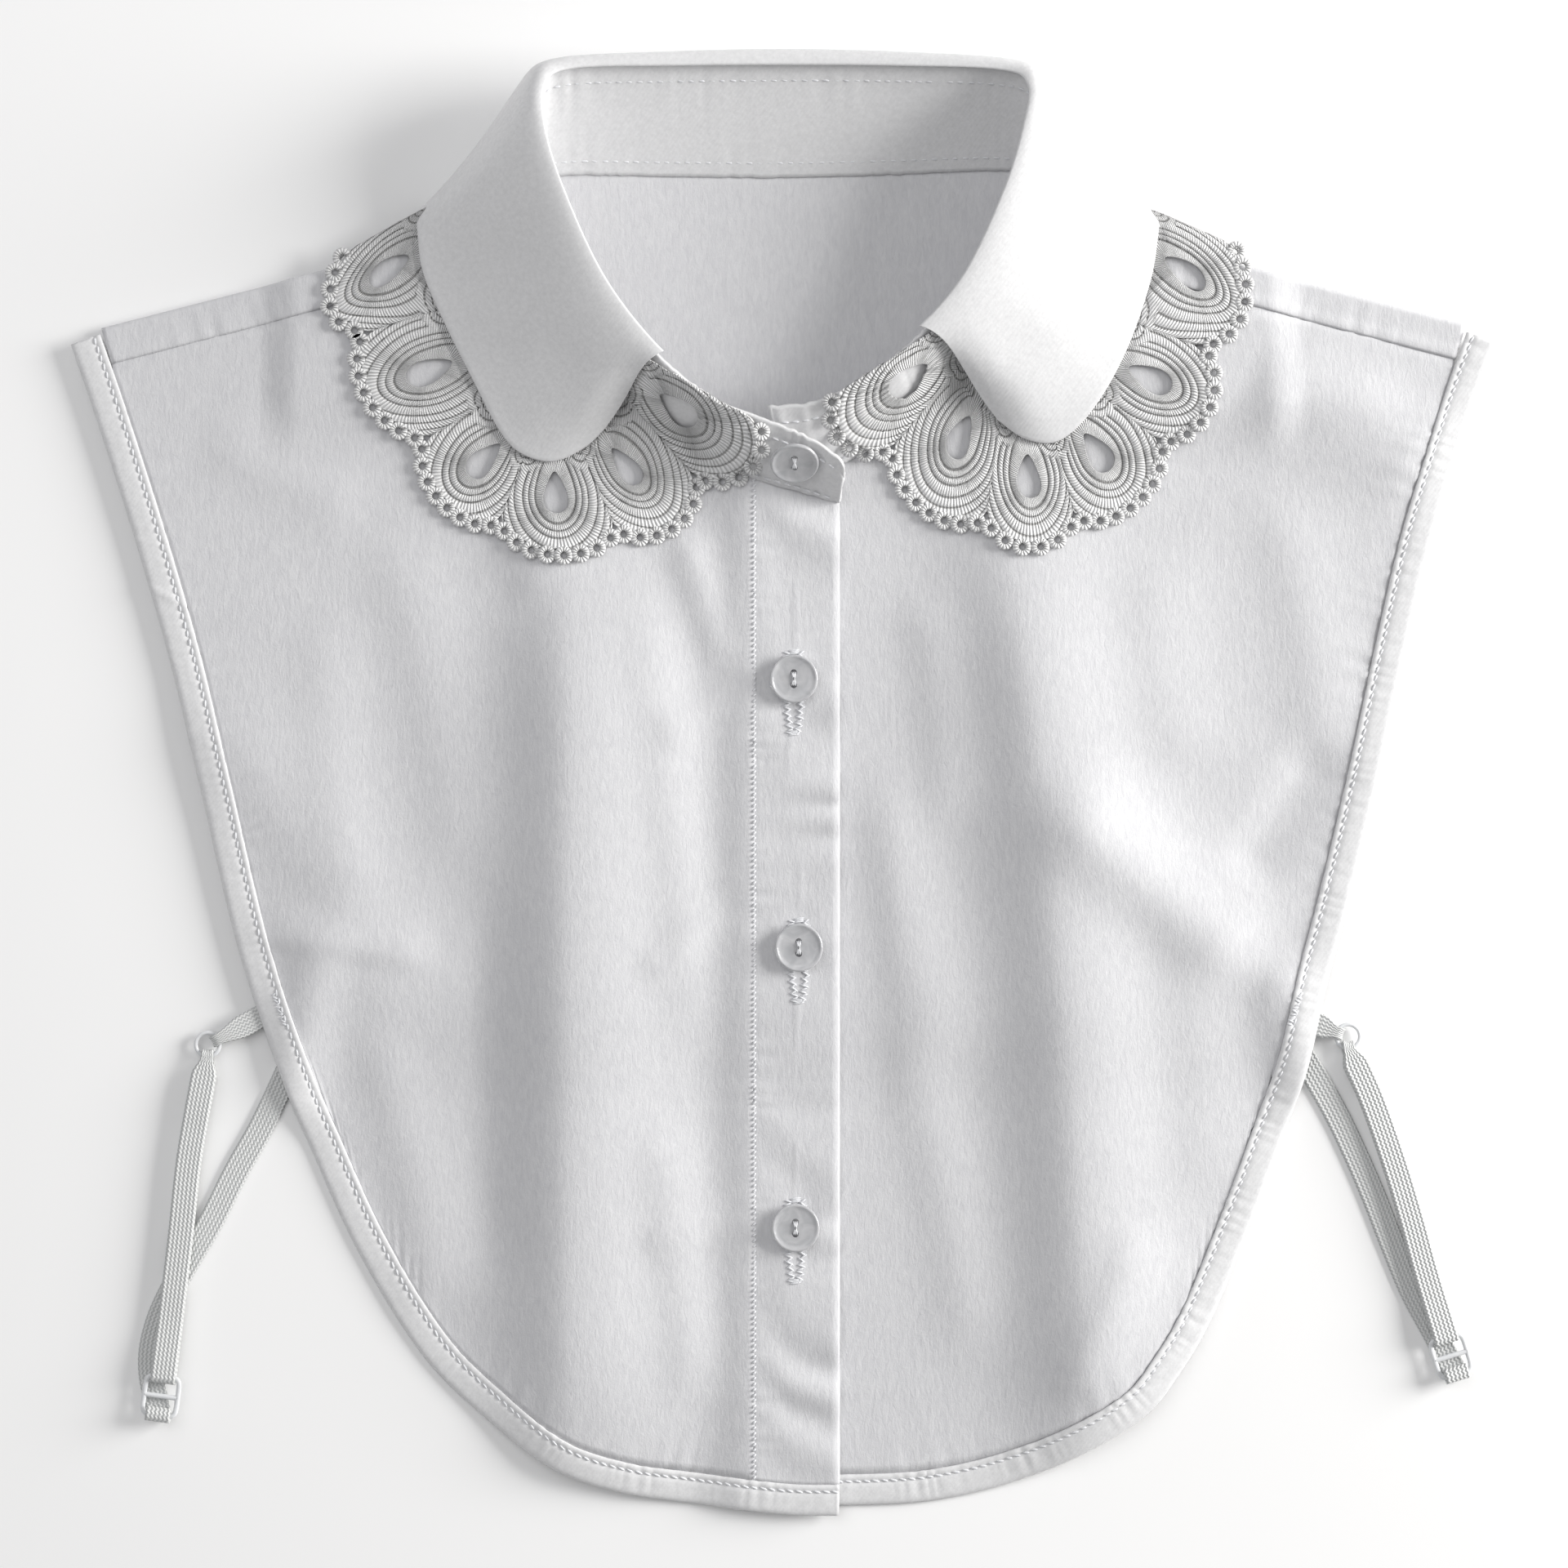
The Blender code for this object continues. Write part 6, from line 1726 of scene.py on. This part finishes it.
def strap_back(side, centre, up, edge_bar, count=110):
    """The strap from the back panel: under the loop and the slider, and round its lower bar."""
    last = centre - up * edge_bar
    route = curve(STRAPS[side]["back"] + [tuple(last)], count)
    normal = sideways(route)
    turn = hairpin(last, -up, SLIDER_LEVEL)[::-1]
    low = RING_LEVEL - BEND_RADIUS
    share = np.linspace(0, 1, count)
    z = low + smooth(0.9, 1, share) * (turn[0, 2] - low)
    tail = turn[-1:] + np.c_[up[None] * 2.2, [[0.0]]]
    path = np.vstack([np.c_[route, z][:-1], turn, tail])
    bar_across = np.repeat([[-up[1], up[0]]], len(turn) + 1, axis=0)
    across = np.vstack([normal[:-1], bar_across])
    return band(f"strap_back_{side}", path, np.full(len(path), STRAP_WIDTH), ELASTIC, across, np.zeros((len(path), 2)))


# %% Rings and sliders
SLIDER_BAR = 0.62           # half the width of a slider's bars


def tube(name, path, wide, high, around=14, closed=True):
    """A tube of elliptical section along a level path of x, y, z."""
    turned_path = np.vstack([path[-1:], path, path[:1]]) if closed else path
    side = sideways(turned_path)[1:-1] if closed else sideways(path)
    angle = np.linspace(0, math.tau, around, endpoint=False)
    points = np.repeat(path[:, None], around, axis=1)
    points[..., :2] += side[:, None] * (wide * np.cos(angle))[None, :, None]
    points[..., 2] += high * np.sin(angle)
    if closed:
        faces = torus_faces(len(path), around)
    else:
        index = np.arange(len(path) * around).reshape(len(path), around)
        index = np.hstack([index, index[:, :1]])
        faces = np.stack([index[:-1, :-1], index[1:, :-1], index[1:, 1:], index[:-1, 1:]], axis=-1).reshape(-1, 4)
    made = mesh_piece(name, points, faces, COATED)
    merge(made, 0.001, up=False)
    return made


def ring(side):
    """The coated ring between tab and strap."""
    angle = np.linspace(0, math.tau, 56, endpoint=False)
    x, y = STRAPS[side]["ring"]
    path = np.c_[x + RING_RADIUS * np.cos(angle), y + RING_RADIUS * np.sin(angle), np.full(56, RING_LEVEL)]
    return tube(f"ring_{side}", path, RING_WIRE, RING_WIRE)


def slider(side):
    """The slider: a frame with round corners and a bar across its middle."""
    (x, y), turn = STRAPS[side]["slider"]
    width, length, thick = SLIDER_SIZE
    side_bar = (width - SLOT_SIZE[0]) / 2
    end_bar = (length - 2 * SLOT_SIZE[1]) / 3
    half = np.array([(width - side_bar) / 2, (length - end_bar) / 2])
    angle = np.linspace(0, math.tau, 96, endpoint=False)
    power = 0.35
    flat = np.stack([half[0] * np.sign(np.cos(angle)) * np.abs(np.cos(angle)) ** power,
                     half[1] * np.sign(np.sin(angle)) * np.abs(np.sin(angle)) ** power], axis=1)
    spin = math.radians(turn)
    rotate = np.array([[math.cos(spin), math.sin(spin)], [-math.sin(spin), math.cos(spin)]])
    frame_path = np.c_[flat @ rotate + (x, y), np.full(len(flat), SLIDER_LEVEL)]
    bar_flat = np.c_[np.linspace(-half[0], half[0], 12), np.zeros(12)]
    bar_path = np.c_[bar_flat @ rotate + (x, y), np.full(12, SLIDER_LEVEL)]
    outer = tube(f"slider_{side}", frame_path, SLIDER_BAR, 0.6 * thick)
    bar = tube(f"slider_bar_{side}", bar_path, SLIDER_BAR, 0.6 * thick, closed=False)
    return outer, bar


strap_pieces = {}
for side in ("left", "right"):
    (x, y), turn = STRAPS[side]["slider"]
    centre = np.array([x, y])
    up = np.array([-math.sin(math.radians(turn)), math.cos(math.radians(turn))])
    bar = (SLIDER_SIZE[1] - 2 * SLOT_SIZE[1]) / 3
    edge_bar = (SLIDER_SIZE[1] - bar) / 2
    strap_pieces[side] = {
        "tab": tab(side), "loop": strap_loop(side, centre, up, edge_bar),
        "back": strap_back(side, centre, up, edge_bar), "ring": ring(side), "slider": slider(side),
    }
print("straps", {side: len(made) for side, made in strap_pieces.items()})


# %% [markdown]
# What each piece stands for
#
# Each piece hides the solid that it takes the place of, where there is one. Each cloth piece is
# listed with the size it was cut to, and its surface area is printed beside the flat one.

# %% Declarations
def stand_in(piece, slot, *nodes):
    """Hides the solids that a piece takes the place of; the piece and its finish, slot, are not used."""
    if nodes:
        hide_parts(*nodes)


stand_in(back_piece, "crepe", "back_panel")
stand_in(front_left, "crepe", "front_left")
stand_in(front_right, "crepe", "front_right")
stand_in(placket_piece, "crepe", "placket")
stand_in(binding_left, "satin", "binding_left")
stand_in(binding_right, "satin", "binding_right")
stand_in(binding_under, "satin", "binding_back")
stand_in(stand_piece, "satin", "collar_stand")
stand_in(leaf_piece, "satin", "collar_leaf")
for web, loops, node in ((lace_left, picots_left, "lace_left"), (lace_right, picots_right, "lace_right"),
                         (lace_back, picots_back, "lace_back")):
    stand_in(web, "lace", node)
    stand_in(loops, "lace")
for node, piece in zip([*BUTTONS, "button_collar"], button_pieces):
    stand_in(piece, "button", node)
for side, made in strap_pieces.items():
    stand_in(made["tab"], "elastic", f"tab_{side}")
    stand_in(made["loop"], "elastic", f"strap_loop_{side}")
    stand_in(made["back"], "elastic", f"strap_back_{side}")
    stand_in(made["ring"], "hardware", f"ring_{side}")
    stand_in(made["slider"][0], "hardware", f"slider_{side}")
    stand_in(made["slider"][1], "hardware")
for piece in (sewing_bib, sewing_stand, buttonholes, button_sewing, bar_tacks):
    stand_in(piece, "satin")

# Flat width and length in metres, area in square metres, what the piece lies on, and what is sewn to it.
SHEETS = [
    (back_piece, (0.348, 0.185), 0.0515, ["binding_back"], [binding_under]),
    (front_left, (0.168, 0.282), 0.0310, ["back_panel"], [binding_left]),
    (front_right, (0.178, 0.284), 0.0335, ["back_panel"], [binding_right]),
    (placket_piece, (0.021, 0.245), None, ["front_right"], []),
    (stand_piece, (0.026, 0.360), 0.0087, ["back_panel"], []),
    (leaf_piece, (0.048, 0.400), 0.0155, ["collar_stand"], []),
    (lace_left, (0.030, 0.136), None, ["front_left"], [picots_left]),
    (lace_right, (0.030, 0.136), None, ["front_right"], [picots_right]),
    (lace_back, (0.026, 0.220), None, ["back_panel"], [picots_back]),
]


def one_side(piece):
    """Area of a piece's surface before its wall, in square metres."""
    return sum(face.area for face in piece.data.polygons)


for piece, flat, area, under, sewn in SHEETS:
    print(piece.name, "surface", round(one_side(piece), 5), "flat", round(area or flat[0] * flat[1], 5))

# %% [markdown]
# Floor and light
#
# A plain white sweep, and soft light from the right, as in a shop's product photograph: the key
# rakes over the folds from the right, a large weak one from above fills the shadows.

# %% Floor and light
def floor():
    """A plain pale floor."""
    bpy.ops.mesh.primitive_plane_add(size=4.0)
    made = bpy.context.object
    made.name = "floor"
    look, tree, shader = new_material("White paper")
    place = add(tree, "ShaderNodeTexCoord")
    grain = add(tree, "ShaderNodeTexNoise", {"Vector": place.outputs["Object"]}, {"Scale": per_metre(2.0)})
    bump = add(tree, "ShaderNodeBump", {"Height": grain.outputs["Fac"]}, {"Strength": 0.02, "Distance": 0.0002})
    tree.links.new(bump.outputs["Normal"], shader.inputs["Normal"])
    shader.inputs["Base Color"].default_value = linear("#FDFDFD")
    shader.inputs["Roughness"].default_value = 0.9
    made.data.materials.append(look)
    return made


def area_light(name, place, aim, size, power, shade):
    """A square soft light that faces a place."""
    data = bpy.data.lights.new(name, "AREA")
    data.size = size
    data.energy = power
    data.color = linear(shade)[:3]
    made = bpy.data.objects.new(name, data)
    made.location = place
    made.rotation_mode = "QUATERNION"
    made.rotation_quaternion = (mathutils.Vector(aim) - mathutils.Vector(place)).to_track_quat("-Z", "Y")
    bpy.context.scene.collection.objects.link(made)
    return made


def surroundings(shade, strength):
    """Even light from all round."""
    world = bpy.data.worlds.new("Studio")
    bpy.context.scene.world = world
    world.use_nodes = True
    back = world.node_tree.nodes["Background"]
    back.inputs["Color"].default_value = linear(shade)
    back.inputs["Strength"].default_value = strength


floor()
area_light("key", (1.5, 0.35, 0.56), (0, 0, 0), 0.8, 38.0, "#FFFEFC")
area_light("fill", (-0.7, 0.6, 1.4), (0, 0, 0), 1.6, 9.0, "#FDFDFF")
surroundings("#FCFCFC", 0.33)
bpy.context.scene.view_settings.view_transform = "Standard"
